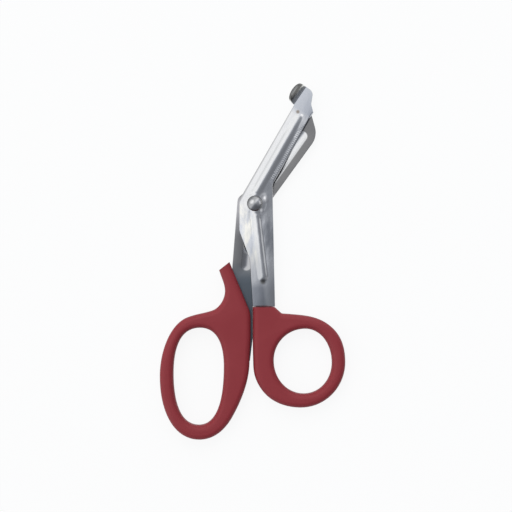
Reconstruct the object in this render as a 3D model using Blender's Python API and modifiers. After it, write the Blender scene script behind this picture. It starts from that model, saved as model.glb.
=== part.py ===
"""Utility scissors with angled blades, lying flat with their front face up.

+Z points out of the front face and the blades point towards +Y. The origin is on the
pivot axis, in the plane that the scissors rest on. The lower blade, whose blunt foot
slides along the skin, lies in front of the parting plane and carries the thumb grip.
The upper blade lies behind it and carries the finger grip. Both blades are pressed
from one thickness of sheet, with hollow beads and a hollow boss under the rivet.
"""

import math

import bmesh
import bpy
from mathutils import Vector

# Stack up the pivot axis
GRIP_THICKNESS = 0.0090
SHEET = 0.0015
BLADE_GAP = 0.0003
BEAD_HEIGHT = 0.0007
BOSS_HEIGHT = 0.0011
SEAT_GAP = 0.0001

# Pressed forms
BEAD_WIDTH = 0.0052
BOSS_FOOT_RADIUS = 0.0062
BOSS_TOP_RADIUS = 0.0052

# Ground cutting edges
EDGE_LAND = 0.0003
BEVEL_WIDTH = 0.0006
SERRATION_PITCH = 0.0011
SERRATION_WIDTH = 0.0005
SERRATION_DEPTH = 0.0002

# Lower blade. Reaches run along the cutting section from the pivot, offsets across it
LOWER_ANGLE = math.radians(60.4)
LOWER_SPINE_OFFSET = 0.0081
LOWER_EDGE_OFFSET = -0.0032
LOWER_EDGE_REACH = 0.0575
LOWER_BEVEL_START = 0.0155
LOWER_HEEL_X = 0.0094
LOWER_ELBOW_X = -0.0082
LOWER_ELBOW_FOOT_Y = -0.0145
LOWER_WAIST_X = -0.0027
LOWER_WAIST_Y = -0.0295
LOWER_SHANK_LEFT = -0.0011
LOWER_SHANK_RIGHT = 0.0108
LOWER_BEAD_OFFSET = 0.0025
LOWER_BEAD_REACH = 0.0520
LOWER_SHANK_BEAD_X = 0.0044
LOWER_SHANK_BEAD_Y = -0.0390

# Blunt foot at the tip of the lower blade, folded up along a line of its own
FOOT_ROOT_REACH = 0.0568
FOOT_ROOT_OFFSET = 0.00765
FOOT_ANGLE = math.radians(55.4)
FOOT_LENGTH = 0.0114
FOOT_OVERHANG = 0.00065
FOOT_DEPTH = 0.0065
FOOT_FOLD = math.radians(60)
FOOT_BEND_RADIUS = 0.0010
NECK_REACH = 0.0046
NECK_OFFSET = -0.0073
TIP_OFFSET = -0.0043

# Upper blade
UPPER_ANGLE = math.radians(54.0)
UPPER_SPINE_OFFSET = -0.0060
UPPER_EDGE_OFFSET = 0.0051
UPPER_HEEL_REACH = 0.0125
UPPER_TIP_REACH = 0.0575
UPPER_BEVEL_START = 0.0155
UPPER_NOSE_REACH = 0.0487
UPPER_NOSE_RADIUS = 0.0105
UPPER_SHOULDER_X = -0.0091
UPPER_SHOULDER_Y = 0.0030
UPPER_ELBOW_X = 0.0088
UPPER_ELBOW_FOOT_Y = -0.0140
UPPER_WAIST_X = 0.0017
UPPER_WAIST_Y = -0.0295
UPPER_SHANK_LEFT = -0.0117
UPPER_SHANK_RIGHT = 0.0003
UPPER_SHANK_LEFT_Y = -0.0301
UPPER_SHANK_RIGHT_Y = -0.0525
UPPER_BEAD_START_OFFSET = -0.0002
UPPER_BEAD_END_OFFSET = 0.0000
UPPER_BEAD_REACH = 0.0446
UPPER_SHANK_BEAD_X = -0.0045
UPPER_SHANK_BEAD_Y = -0.0330
BEAD_START = 0.0030

# Tangs that the grips are moulded over
TANG_WIDTH = 0.0070
TANG_HOLE_RADIUS = 0.0016
TANG_HOLE_SETBACK = 0.0060
LOWER_TANG_X = 0.0050
LOWER_TANG_END = -0.0800
UPPER_TANG_X = -0.0098
UPPER_TANG_TOP = -0.0605
UPPER_TANG_END = -0.0860
MOULD_GAP = 0.0003

# Rivet and its washer
RIVET_RADIUS = 0.0024
RIVET_CLEARANCE = 0.00015
HEAD_RADIUS = 0.00415
HEAD_HEIGHT = 0.0025
HEAD_RIM = 0.0004
TAIL_RADIUS = 0.0034
WASHER_RADIUS = 0.0046
WASHER_THICKNESS = 0.0005

# Grips
GRIP_EDGE_RADIUS = 0.0029
GRIP_TOP = -0.0552
THUMB_STOP_X = -0.0011
THUMB_LOOP_LEFT = -0.0008
THUMB_LOOP_RIGHT = 0.0482
THUMB_LOOP_BOTTOM = -0.1087
THUMB_HOLE_TOP = (0.0269, -0.0667)
THUMB_HOLE_RIGHT = (0.0411, -0.0849)
THUMB_HOLE_BOTTOM = (0.0261, -0.1014)
THUMB_HOLE_LEFT = (0.0101, -0.0836)
THUMB_HOLE_FULLNESS = 0.56
FINGER_STOP_X = -0.0021
FINGER_LOOP_LEFT = -0.0506
FINGER_LOOP_BOTTOM = -0.1258
FINGER_HOLE_TOP = (-0.0292, -0.0662)
FINGER_HOLE_RIGHT = (-0.0165, -0.0868)
FINGER_HOLE_BOTTOM = (-0.0298, -0.1181)
FINGER_HOLE_LEFT = (-0.0434, -0.0905)
FINGER_HOLE_FULLNESS = 0.65
HORN_LEFT = (-0.0191, -0.0356)
HORN_RIGHT = (-0.0133, -0.0310)

# Outlines of the grips: (x, y, travel in degrees, reach in, reach out) at each knot
THUMB_OUTLINE = [
    (0.0140, -0.05830, 137.8, 0.0008, 0),
    (0.0078, -0.05268, 137.8, 0, 0.0020),
    (0.0030, -0.04900, 180, 0.0020, 0.0022),
    (THUMB_STOP_X, -0.05300, 270, 0.0020, 0),
    (THUMB_STOP_X, -0.07300, 270, 0, 0.0040),
    (THUMB_LOOP_LEFT, -0.08650, 272, 0.0045, 0.0050),
    (0.0040, -0.09960, 307, 0.0050, 0.0079),
    (0.0245, THUMB_LOOP_BOTTOM, 0, 0.0079, 0.0131),
    (THUMB_LOOP_RIGHT, -0.08450, 90, 0.0133, 0.0098),
    (0.0374, -0.06325, 149, 0.0088, 0.0072),
    (0.0170, -0.05880, 175, 0.0068, 0.0010),
]
FINGER_OUTLINE = [
    (FINGER_STOP_X, -0.06200, 90, 0, 0.0020),
    (-0.0032, -0.05620, 112.5, 0.0020, 0),
    (-0.0155, -0.02640, 112.5, 0, 0.0030),
    (-0.0210, -0.02200, 190, 0.0030, 0.0030),
    (-0.0240, -0.02700, 300, 0.0030, 0),
    (-0.0185, -0.03700, 288, 0.0040, 0.0032),
    (-0.0159, -0.04660, 270, 0.0034, 0.0046),
    (-0.0223, -0.05690, 202, 0.0034, 0.0040),
    (-0.0370, -0.06115, 205, 0.0050, 0.0086),
    (FINGER_LOOP_LEFT, -0.09200, 270, 0.0140, 0.0200),
    (-0.0295, FINGER_LOOP_BOTTOM, 0, 0.0130, 0.0088),
    (-0.0119, -0.11360, 61, 0.0064, 0.0090),
    (-0.0028, -0.08400, 90, 0.0110, 0.0040),
    (FINGER_STOP_X, -0.07000, 90, 0.0040, 0),
]

# Worked out from the above
PARTING_Z = GRIP_THICKNESS / 2
FRONT = 1
BACK = -1
ROUND_STEPS = 48
CORNER_STEPS = 5
GRIP_STEPS = 9
CUT_MARGIN = 0.0010
CIRCLE_FULLNESS = 0.5523


def clear_scene():
    for obj in list(bpy.data.objects):
        bpy.data.objects.remove(obj)


def new_collection(name):
    collection = bpy.data.collections.new(name)
    bpy.context.scene.collection.children.link(collection)
    return collection


def new_object(name, mesh, collection):
    obj = bpy.data.objects.new(name, mesh)
    collection.objects.link(obj)
    return obj


def mesh_from(name, bm):
    bmesh.ops.recalc_face_normals(bm, faces=bm.faces)
    mesh = bpy.data.meshes.new(name)
    bm.to_mesh(mesh)
    bm.free()
    return mesh


def material(name, colour, roughness, metallic):
    made = bpy.data.materials.new(name)
    made.use_nodes = True
    shader = made.node_tree.nodes["Principled BSDF"]
    shader.inputs["Base Color"].default_value = (*colour, 1.0)
    shader.inputs["Roughness"].default_value = roughness
    shader.inputs["Metallic"].default_value = metallic
    made.diffuse_color = (*colour, 1.0)
    return made


def inner_z(side):
    """Height of the face that a blade turns to the other blade."""
    return PARTING_Z + side * BLADE_GAP / 2


def outer_z(side):
    return inner_z(side) + side * SHEET


# Outlines


def heading(angle):
    return Vector((math.cos(angle), math.sin(angle)))


def frame_point(angle, reach, offset, origin=(0, 0)):
    """The point at a reach along an angled frame, and an offset to its left."""
    side = angle + math.pi / 2
    return Vector(origin) + heading(angle) * reach + heading(side) * offset


def lower_point(reach, offset):
    return frame_point(LOWER_ANGLE, reach, offset)


def upper_point(reach, offset):
    return frame_point(UPPER_ANGLE, reach, offset)


def foot_point(reach, offset):
    root = lower_point(FOOT_ROOT_REACH, FOOT_ROOT_OFFSET)
    return frame_point(FOOT_ANGLE, reach, offset, root)


def set_knot(spline, index, point, left=None, right=None):
    """Sets one Bezier point. A side with no handle runs straight to its neighbour."""
    knot = spline.bezier_points[index]
    knot.co = (*point, 0)
    knot.handle_left_type = "VECTOR" if left is None else "FREE"
    knot.handle_right_type = "VECTOR" if right is None else "FREE"
    if left is not None:
        knot.handle_left = (*left, 0)
    if right is not None:
        knot.handle_right = (*right, 0)


def corner_spline(curve, corners):
    """A closed outline through (point, fillet radius) corners."""
    spline = curve.splines.new("BEZIER")
    spline.bezier_points.add(sum(2 if radius else 1 for _, radius in corners) - 1)
    spline.use_cyclic_u = True
    index = 0
    for i, (corner, radius) in enumerate(corners):
        if not radius:
            set_knot(spline, index, corner)
            index += 1
            continue
        back = (corners[i - 1][0] - corner).normalized()
        on = (corners[(i + 1) % len(corners)][0] - corner).normalized()
        half_angle = back.angle(on) / 2
        setback = radius / math.tan(half_angle)
        reach = radius * 4 / 3 * math.tan((math.pi / 2 - half_angle) / 2)
        start = corner + back * setback
        end = corner + on * setback
        set_knot(spline, index, start, right=start - back * reach)
        set_knot(spline, index + 1, end, left=end - on * reach)
        index += 2


def knot_spline(curve, knots):
    """A closed outline through (x, y, travel in degrees, reach in, reach out) knots."""
    spline = curve.splines.new("BEZIER")
    spline.bezier_points.add(len(knots) - 1)
    spline.use_cyclic_u = True
    for index, (x, y, travel, reach_in, reach_out) in enumerate(knots):
        point = Vector((x, y))
        along = heading(math.radians(travel))
        left = point - along * reach_in if reach_in else None
        right = point + along * reach_out if reach_out else None
        set_knot(spline, index, point, left, right)


def oval_spline(curve, top, right, bottom, left, fullness=CIRCLE_FULLNESS):
    """A closed outline through its extreme points, fuller in its corners than an ellipse."""
    wide_left = fullness * (top[0] - left[0])
    wide_right = fullness * (right[0] - top[0])
    low_right = fullness * (right[0] - bottom[0])
    low_left = fullness * (bottom[0] - left[0])
    knots = [
        (*top, 0, wide_left, wide_right),
        (*right, 270, fullness * (top[1] - right[1]), fullness * (right[1] - bottom[1])),
        (*bottom, 180, low_right, low_left),
        (*left, 90, fullness * (left[1] - bottom[1]), fullness * (top[1] - left[1])),
    ]
    knot_spline(curve, knots)


def circle_spline(curve, centre, radius):
    x, y = centre
    oval_spline(curve, (x, y + radius), (x + radius, y), (x, y - radius), (x - radius, y))


def grown(corners, distance):
    """The same counter-clockwise outline moved outwards, corner by corner."""
    moved = []
    for i, (corner, radius) in enumerate(corners):
        back = (corner - corners[i - 1][0]).normalized()
        on = (corners[(i + 1) % len(corners)][0] - corner).normalized()
        outward = (Vector((back.y, -back.x)) + Vector((on.y, -on.x))).normalized()
        shift = distance / outward.dot(Vector((on.y, -on.x)))
        moved.append((corner + outward * shift, radius))
    return moved


def new_curve(name, half_height, steps, edge_radius=0):
    curve = bpy.data.curves.new(name, "CURVE")
    curve.dimensions = "2D"
    curve.fill_mode = "BOTH"
    curve.resolution_u = steps
    curve.extrude = half_height - edge_radius
    curve.bevel_depth = edge_radius
    curve.bevel_resolution = 3
    curve.offset = -edge_radius
    return curve


def solid_from(curve, name, height, collection):
    """Turns an outline curve into a clean mesh whose middle is at the given height."""
    outline = new_object(name, curve, collection)
    graph = bpy.context.evaluated_depsgraph_get()
    mesh = bpy.data.meshes.new_from_object(outline.evaluated_get(graph))
    bpy.data.objects.remove(outline)
    bm = bmesh.new()
    bm.from_mesh(mesh)
    bmesh.ops.remove_doubles(bm, verts=bm.verts, dist=1e-6)
    bmesh.ops.translate(bm, verts=bm.verts, vec=(0, 0, height))
    return new_object(name, mesh_from(name, bm), collection)


# Cutters and added forms


def join(target, tool, operation):
    boolean = target.modifiers.new(tool.name, "BOOLEAN")
    boolean.object = tool
    boolean.operation = operation
    tool.hide_render = True
    tool.display_type = "WIRE"


def disc(name, radius, top_radius, low, high, collection):
    bm = bmesh.new()
    bmesh.ops.create_cone(
        bm,
        cap_ends=True,
        segments=ROUND_STEPS,
        radius1=radius,
        radius2=top_radius,
        depth=abs(high - low),
    )
    if high < low:
        bmesh.ops.scale(bm, verts=bm.verts, vec=(1, 1, -1))
    bmesh.ops.translate(bm, verts=bm.verts, vec=(0, 0, (low + high) / 2))
    return new_object(name, mesh_from(name, bm), collection)


def turned(name, profile, collection):
    """A solid of revolution about Z through (radius, height) points."""
    bm = bmesh.new()
    ring = [bm.verts.new((radius, 0, height)) for radius, height in profile]
    for start, end in zip(ring, ring[1:]):
        bm.edges.new((start, end))
    if profile[0][0] > 0:
        bm.edges.new((ring[-1], ring[0]))
    mesh = bpy.data.meshes.new(name)
    bm.to_mesh(mesh)
    bm.free()
    obj = new_object(name, mesh, collection)
    screw = obj.modifiers.new("turn", "SCREW")
    screw.steps = ROUND_STEPS
    screw.render_steps = ROUND_STEPS
    screw.use_merge_vertices = True
    screw.merge_threshold = 0.00001
    return obj


def bar(name, rings, collection):
    """Solids between pairs of matching end outlines, each a list of points."""
    bm = bmesh.new()
    for near, far in rings:
        near_verts = [bm.verts.new(point) for point in near]
        far_verts = [bm.verts.new(point) for point in far]
        bm.faces.new(near_verts)
        bm.faces.new(far_verts)
        for i in range(len(near_verts)):
            j = (i + 1) % len(near_verts)
            bm.faces.new((near_verts[i], near_verts[j], far_verts[j], far_verts[i]))
    return new_object(name, mesh_from(name, bm), collection)


def bead(name, start, end, half_width, height, base, sink, side, collection):
    """A long rounded mound from start to end, turned over on the back blade.

    It stands its height proud of base and goes its sink deep below it.
    """
    dome = (half_width**2 + height**2) / (2 * height)
    opening = math.asin(half_width / dome)
    levels = []
    for step in range(1, CORNER_STEPS + 1):
        turn = opening * step / CORNER_STEPS
        levels.append((dome * math.sin(turn), height - dome * (1 - math.cos(turn))))
    levels.append((half_width, -sink))
    travel = math.atan2(end[1] - start[1], end[0] - start[0])
    bm = bmesh.new()
    ridge = [bm.verts.new((*point, base + side * height)) for point in (end, start)]
    half = ROUND_STEPS // 2
    rings = []
    for radius, z in levels:
        ring = []
        for centre, first in ((end, travel - math.pi / 2), (start, travel + math.pi / 2)):
            for step in range(half + 1):
                spot = Vector(centre) + heading(first + math.pi * step / half) * radius
                ring.append(bm.verts.new((*spot, base + side * z)))
        rings.append(ring)
    count = len(rings[0])
    for ring, lower in zip(rings, rings[1:]):
        for i in range(count):
            j = (i + 1) % count
            bm.faces.new((ring[i], ring[j], lower[j], lower[i]))
    bm.faces.new(rings[-1])
    for i in range(half):
        bm.faces.new((rings[0][i], rings[0][i + 1], ridge[0]))
        bm.faces.new((rings[0][half + 1 + i], rings[0][half + 2 + i], ridge[1]))
    bm.faces.new((rings[0][half], rings[0][half + 1], ridge[1], ridge[0]))
    bm.faces.new((rings[0][-1], rings[0][0], ridge[0], ridge[1]))
    return new_object(name, mesh_from(name, bm), collection)


# Blades


def press(blade, beads, side, cutters):
    """Raises the beads and the boss, and hollows them by the sheet's own thickness."""
    inner = inner_z(side)
    outer = outer_z(side)
    half = BEAD_WIDTH / 2
    dome = (half**2 + BEAD_HEIGHT**2) / (2 * BEAD_HEIGHT) - SHEET
    hollow_half = math.sqrt(dome**2 - (dome - BEAD_HEIGHT) ** 2)
    slope = math.atan(BOSS_HEIGHT / (BOSS_FOOT_RADIUS - BOSS_TOP_RADIUS))
    wall = SHEET * math.tan(slope / 2)
    for i, (start, end) in enumerate(beads):
        name = f"{blade.name}_bead_{i}"
        sink = SHEET / (2 + i)
        raised = bead(name, start, end, half, BEAD_HEIGHT, outer, sink, side, cutters)
        join(blade, raised, "UNION")
    boss = disc(
        f"{blade.name}_boss",
        BOSS_FOOT_RADIUS + SHEET / 4 / math.tan(slope),
        BOSS_TOP_RADIUS,
        outer - side * SHEET / 4,
        outer + side * BOSS_HEIGHT,
        cutters,
    )
    join(blade, boss, "UNION")
    for i, (start, end) in enumerate(beads):
        name = f"{blade.name}_groove_{i}"
        sink = CUT_MARGIN * (1 + i / 4)
        groove = bead(name, start, end, hollow_half, BEAD_HEIGHT, inner, sink, side, cutters)
        join(blade, groove, "DIFFERENCE")
    recess = disc(
        f"{blade.name}_recess",
        BOSS_FOOT_RADIUS - wall + CUT_MARGIN / math.tan(slope),
        BOSS_TOP_RADIUS - wall,
        inner - side * CUT_MARGIN,
        inner + side * BOSS_HEIGHT,
        cutters,
    )
    join(blade, recess, "DIFFERENCE")
    bore = disc(
        f"{blade.name}_bore",
        RIVET_RADIUS + RIVET_CLEARANCE,
        RIVET_RADIUS + RIVET_CLEARANCE,
        PARTING_Z - 2 * SHEET - side * 0.1 * SHEET,
        PARTING_Z + 4 * SHEET,
        cutters,
    )
    join(blade, bore, "DIFFERENCE")


def bevel_height(side, across):
    """Height of the ground bevel at a distance in from the cutting edge."""
    rise = (SHEET - EDGE_LAND) / BEVEL_WIDTH
    return inner_z(side) + side * (EDGE_LAND + rise * across)


def grind(blade, point_at, edge, inward, start, end, side, cutters):
    """Grinds the bevel on the outer face, leaving a narrow land at the edge."""
    over = BEVEL_WIDTH + CUT_MARGIN
    top = bevel_height(side, over)
    section = [
        (edge - inward * CUT_MARGIN, bevel_height(side, -CUT_MARGIN)),
        (edge + inward * over, top),
        (edge - inward * CUT_MARGIN, top),
    ]
    near = [(*point_at(start, offset), z) for offset, z in section]
    far = [(*point_at(end, offset), z) for offset, z in section]
    wedge = bar(f"{blade.name}_bevel", [(near, far)], cutters)
    join(blade, wedge, "DIFFERENCE")


def serrate(blade, point_at, edge, inward, start, end, side, cutters):
    """Cuts fine grooves across the bevel, from the edge two thirds of the way up."""
    spread = SERRATION_WIDTH / 2
    deep = -side * SERRATION_DEPTH
    proud = side * SERRATION_DEPTH
    grooves = []
    for i in range(int((end - start) / SERRATION_PITCH)):
        middle = start + (i + 0.5) * SERRATION_PITCH
        section = [(middle, deep), (middle + 2 * spread, proud), (middle - 2 * spread, proud)]
        ends = []
        for across in (-CUT_MARGIN, BEVEL_WIDTH * 2 / 3):
            base = bevel_height(side, across)
            offset = edge + inward * across
            ends.append([(*point_at(reach, offset), base + rise) for reach, rise in section])
        grooves.append(ends)
    comb = bar(f"{blade.name}_serration", grooves, cutters)
    join(blade, comb, "DIFFERENCE")


def fold_foot(blade):
    """Folds everything beyond the foot's fold line up out of the sheet."""
    normal = heading(FOOT_ANGLE + math.pi / 2)
    root = foot_point(0, 0)
    mid_radius = FOOT_BEND_RADIUS + SHEET / 2
    arc = mid_radius * FOOT_FOLD
    bm = bmesh.new()
    bm.from_mesh(blade.data)
    for step in range(CORNER_STEPS + 1):
        spot = root + normal * arc * step / CORNER_STEPS
        geometry = bm.verts[:] + bm.edges[:] + bm.faces[:]
        bmesh.ops.bisect_plane(
            bm, geom=geometry, dist=1e-7, plane_co=(*spot, 0), plane_no=(*normal, 0)
        )
    centre_z = outer_z(FRONT) + FOOT_BEND_RADIUS
    for vert in bm.verts:
        beyond = (vert.co.xy - root).dot(normal)
        if beyond <= 1e-7:
            continue
        turn = FOOT_FOLD * min(beyond / arc, 1)
        flat = max(beyond - arc, 0)
        radius = centre_z - vert.co.z
        shift = radius * math.sin(turn) + flat * math.cos(turn) - beyond
        vert.co.x += normal.x * shift
        vert.co.y += normal.y * shift
        vert.co.z = centre_z - radius * math.cos(turn) + flat * math.sin(turn)
    bmesh.ops.triangulate(bm, faces=bm.faces)
    bm.to_mesh(blade.data)
    bm.free()


def lower_tang():
    left = LOWER_TANG_X - TANG_WIDTH / 2
    right = LOWER_TANG_X + TANG_WIDTH / 2
    return left, right, LOWER_TANG_END


def upper_tang():
    left = UPPER_TANG_X - TANG_WIDTH / 2
    right = UPPER_TANG_X + TANG_WIDTH / 2
    return left, right, UPPER_TANG_END


def lower_corners():
    left, right, end = lower_tang()
    shoulder = GRIP_TOP + MOULD_GAP
    depth = (FOOT_BEND_RADIUS + SHEET / 2) * FOOT_FOLD + FOOT_DEPTH
    top = FOOT_LENGTH - FOOT_OVERHANG
    rise = (LOWER_EDGE_OFFSET + LOWER_HEEL_X * math.sin(LOWER_ANGLE)) / math.cos(LOWER_ANGLE)
    elbow = (LOWER_SPINE_OFFSET + LOWER_ELBOW_X * math.sin(LOWER_ANGLE)) / math.cos(LOWER_ANGLE)
    return [
        (Vector((right, end)), 0.0020),
        (Vector((right, shoulder - MOULD_GAP / 2)), 0.0005),
        (Vector((LOWER_SHANK_RIGHT, shoulder)), 0.0005),
        (Vector((LOWER_HEEL_X, rise)), 0.0040),
        (lower_point(LOWER_EDGE_REACH, LOWER_EDGE_OFFSET), 0.0003),
        (foot_point(NECK_REACH, NECK_OFFSET), 0.0015),
        (foot_point(top, TIP_OFFSET), 0.0035),
        (foot_point(top, depth), 0.0055),
        (foot_point(-FOOT_OVERHANG, depth), 0.0055),
        (foot_point(-FOOT_OVERHANG, 0), 0.0004),
        (Vector((LOWER_ELBOW_X, elbow)), 0.0060),
        (Vector((LOWER_ELBOW_X, LOWER_ELBOW_FOOT_Y)), 0.0070),
        (Vector((LOWER_WAIST_X, LOWER_WAIST_Y)), 0.0120),
        (Vector((LOWER_SHANK_LEFT, shoulder)), 0.0005),
        (Vector((left, shoulder - MOULD_GAP / 2)), 0.0005),
        (Vector((left, end)), 0.0020),
    ]


def upper_corners():
    left, right, end = upper_tang()
    elbow = (UPPER_SPINE_OFFSET + UPPER_ELBOW_X * math.sin(UPPER_ANGLE)) / math.cos(UPPER_ANGLE)
    return [
        (Vector((right, end)), 0.0020),
        (Vector((right, UPPER_TANG_TOP)), 0.0010),
        (Vector((UPPER_SHANK_RIGHT, UPPER_SHANK_RIGHT_Y)), 0.0020),
        (Vector((UPPER_WAIST_X, UPPER_WAIST_Y)), 0.0120),
        (Vector((UPPER_ELBOW_X, UPPER_ELBOW_FOOT_Y)), 0.0070),
        (Vector((UPPER_ELBOW_X, elbow)), 0.0040),
        (upper_point(UPPER_NOSE_REACH, UPPER_SPINE_OFFSET), UPPER_NOSE_RADIUS),
        (upper_point(UPPER_TIP_REACH, UPPER_EDGE_OFFSET), 0.0005),
        (upper_point(UPPER_HEEL_REACH, UPPER_EDGE_OFFSET), 0.0040),
        (Vector((UPPER_SHOULDER_X, UPPER_SHOULDER_Y)), 0.0040),
        (Vector((UPPER_SHANK_LEFT, UPPER_SHANK_LEFT_Y)), 0.0100),
        (Vector((left, UPPER_SHANK_RIGHT_Y)), 0.0100),
        (Vector((left, end)), 0.0020),
    ]


def tang_hole(x, end):
    return x, end + TANG_HOLE_SETBACK


def blade_sheet(name, corners, hole, side, collection):
    curve = new_curve(name, SHEET / 2, CORNER_STEPS)
    corner_spline(curve, corners)
    circle_spline(curve, hole, TANG_HOLE_RADIUS)
    return solid_from(curve, name, inner_z(side) + side * SHEET / 2, collection)


def build_lower_blade(parts, cutters):
    hole = tang_hole(LOWER_TANG_X, LOWER_TANG_END)
    blade = blade_sheet("lower_blade", lower_corners(), hole, FRONT, parts)
    fold_foot(blade)
    beads = [
        (
            lower_point(BEAD_START, LOWER_BEAD_OFFSET),
            lower_point(LOWER_BEAD_REACH, LOWER_BEAD_OFFSET),
        ),
        ((BEAD_START / 3, -BEAD_START), (LOWER_SHANK_BEAD_X, LOWER_SHANK_BEAD_Y)),
    ]
    press(blade, beads, FRONT, cutters)
    start = LOWER_BEVEL_START
    end = LOWER_EDGE_REACH - CUT_MARGIN / 2
    grind(blade, lower_point, LOWER_EDGE_OFFSET, 1, start, end, FRONT, cutters)
    serrate(blade, lower_point, LOWER_EDGE_OFFSET, 1, start, end, FRONT, cutters)
    return blade


def build_upper_blade(parts, cutters):
    hole = tang_hole(UPPER_TANG_X, UPPER_TANG_END)
    blade = blade_sheet("upper_blade", upper_corners(), hole, BACK, parts)
    beads = [
        (
            upper_point(BEAD_START, UPPER_BEAD_START_OFFSET),
            upper_point(UPPER_BEAD_REACH, UPPER_BEAD_END_OFFSET),
        ),
        ((-BEAD_START / 3, -BEAD_START), (UPPER_SHANK_BEAD_X, UPPER_SHANK_BEAD_Y)),
    ]
    press(blade, beads, BACK, cutters)
    end = UPPER_TIP_REACH + CUT_MARGIN
    grind(blade, upper_point, UPPER_EDGE_OFFSET, -1, UPPER_BEVEL_START, end, BACK, cutters)
    return blade


# Grips


def moulding(name, fill, collection):
    curve = new_curve(name, GRIP_THICKNESS / 2, GRIP_STEPS, GRIP_EDGE_RADIUS)
    fill(curve)
    return solid_from(curve, name, GRIP_THICKNESS / 2, collection)


def tang_pocket(name, corners, hole, side, collection):
    """The space around a tang, left open around the key that fills the tang's hole."""
    curve = new_curve(name, SHEET / 2 + MOULD_GAP, CORNER_STEPS)
    corner_spline(curve, grown(corners, MOULD_GAP))
    circle_spline(curve, hole, TANG_HOLE_RADIUS - MOULD_GAP)
    return solid_from(curve, name, inner_z(side) + side * SHEET / 2, collection)


def trim(grip, near, far, collection):
    """Cuts the grip off flat along the line from near to far, removing its left."""
    along = (Vector(far) - Vector(near)).normalized()
    away = Vector((-along.y, along.x)) * 0.02
    start = Vector(near) - along * 0.02
    end = Vector(far) + along * 0.02
    outline = [start, end, end + away, start + away]
    low = [(*point, -CUT_MARGIN) for point in outline]
    high = [(*point, GRIP_THICKNESS + CUT_MARGIN) for point in outline]
    join(grip, bar(f"{grip.name}_trim", [(low, high)], collection), "DIFFERENCE")


def fill_thumb_grip(curve):
    knot_spline(curve, THUMB_OUTLINE)
    oval_spline(
        curve,
        THUMB_HOLE_TOP,
        THUMB_HOLE_RIGHT,
        THUMB_HOLE_BOTTOM,
        THUMB_HOLE_LEFT,
        THUMB_HOLE_FULLNESS,
    )


def fill_finger_grip(curve):
    knot_spline(curve, FINGER_OUTLINE)
    oval_spline(
        curve,
        FINGER_HOLE_TOP,
        FINGER_HOLE_RIGHT,
        FINGER_HOLE_BOTTOM,
        FINGER_HOLE_LEFT,
        FINGER_HOLE_FULLNESS,
    )


def build_thumb_grip(parts, cutters):
    grip = moulding("thumb_grip", fill_thumb_grip, parts)
    trim(grip, (0.0, GRIP_TOP), (0.02, GRIP_TOP), cutters)
    hole = tang_hole(LOWER_TANG_X, LOWER_TANG_END)
    pocket = tang_pocket("thumb_pocket", lower_corners(), hole, FRONT, cutters)
    join(grip, pocket, "DIFFERENCE")
    return grip


def build_finger_grip(parts, cutters):
    grip = moulding("finger_grip", fill_finger_grip, parts)
    trim(grip, HORN_LEFT, HORN_RIGHT, cutters)
    hole = tang_hole(UPPER_TANG_X, UPPER_TANG_END)
    pocket = tang_pocket("finger_pocket", upper_corners(), hole, BACK, cutters)
    join(grip, pocket, "DIFFERENCE")
    return grip


# Pivot


def build_rivet(parts):
    """Domed head on the front, shank through both blades, tail formed on the back."""
    seat = outer_z(FRONT) + BOSS_HEIGHT + SEAT_GAP
    tail_seat = outer_z(BACK) - BOSS_HEIGHT - WASHER_THICKNESS - 2 * SEAT_GAP
    dome_height = HEAD_HEIGHT - HEAD_RIM
    dome = (HEAD_RADIUS**2 + dome_height**2) / (2 * dome_height)
    opening = math.asin(HEAD_RADIUS / dome)
    profile = []
    for step in range(ROUND_STEPS // 6 + 1):
        turn = opening * step / (ROUND_STEPS // 6)
        profile.append((dome * math.sin(turn), seat + HEAD_HEIGHT - dome * (1 - math.cos(turn))))
    profile += [
        (HEAD_RADIUS, seat),
        (RIVET_RADIUS, seat),
        (RIVET_RADIUS, tail_seat),
        (TAIL_RADIUS - tail_seat / 4, tail_seat),
        (TAIL_RADIUS, tail_seat * 3 / 4),
        (TAIL_RADIUS, tail_seat / 4),
        (TAIL_RADIUS - tail_seat / 4, 0),
        (0, 0),
    ]
    return turned("rivet", profile, parts)


def build_washer(parts):
    top = outer_z(BACK) - BOSS_HEIGHT - SEAT_GAP
    low = top - WASHER_THICKNESS
    bore = RIVET_RADIUS + RIVET_CLEARANCE
    profile = [
        (bore, top),
        (WASHER_RADIUS, top),
        (WASHER_RADIUS, low),
        (bore, low),
    ]
    return turned("washer", profile, parts)


def build():
    clear_scene()
    parts = new_collection("parts")
    cutters = new_collection("cutters")
    steel = (0.62, 0.63, 0.65)
    finishes = [
        (build_lower_blade(parts, cutters), "lower_blade_steel", steel, 0.25, 1.0),
        (build_upper_blade(parts, cutters), "upper_blade_steel", steel, 0.30, 1.0),
        (build_thumb_grip(parts, cutters), "thumb_grip_plastic", (0.25, 0.035, 0.045), 0.5, 0.0),
        (build_finger_grip(parts, cutters), "finger_grip_plastic", (0.25, 0.035, 0.045), 0.5, 0.0),
        (build_rivet(parts), "rivet_steel", steel, 0.12, 1.0),
        (build_washer(parts), "washer_steel", steel, 0.30, 1.0),
    ]
    for obj, name, colour, roughness, metallic in finishes:
        obj.data.materials.clear()
        obj.data.materials.append(material(name, colour, roughness, metallic))


build()
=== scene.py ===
"""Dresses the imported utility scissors: fine pressed blades, grips, lamps and camera."""

import math

import bmesh
import bpy
import numpy as np
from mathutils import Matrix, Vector
from mathutils.geometry import delaunay_2d_cdt


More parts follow.
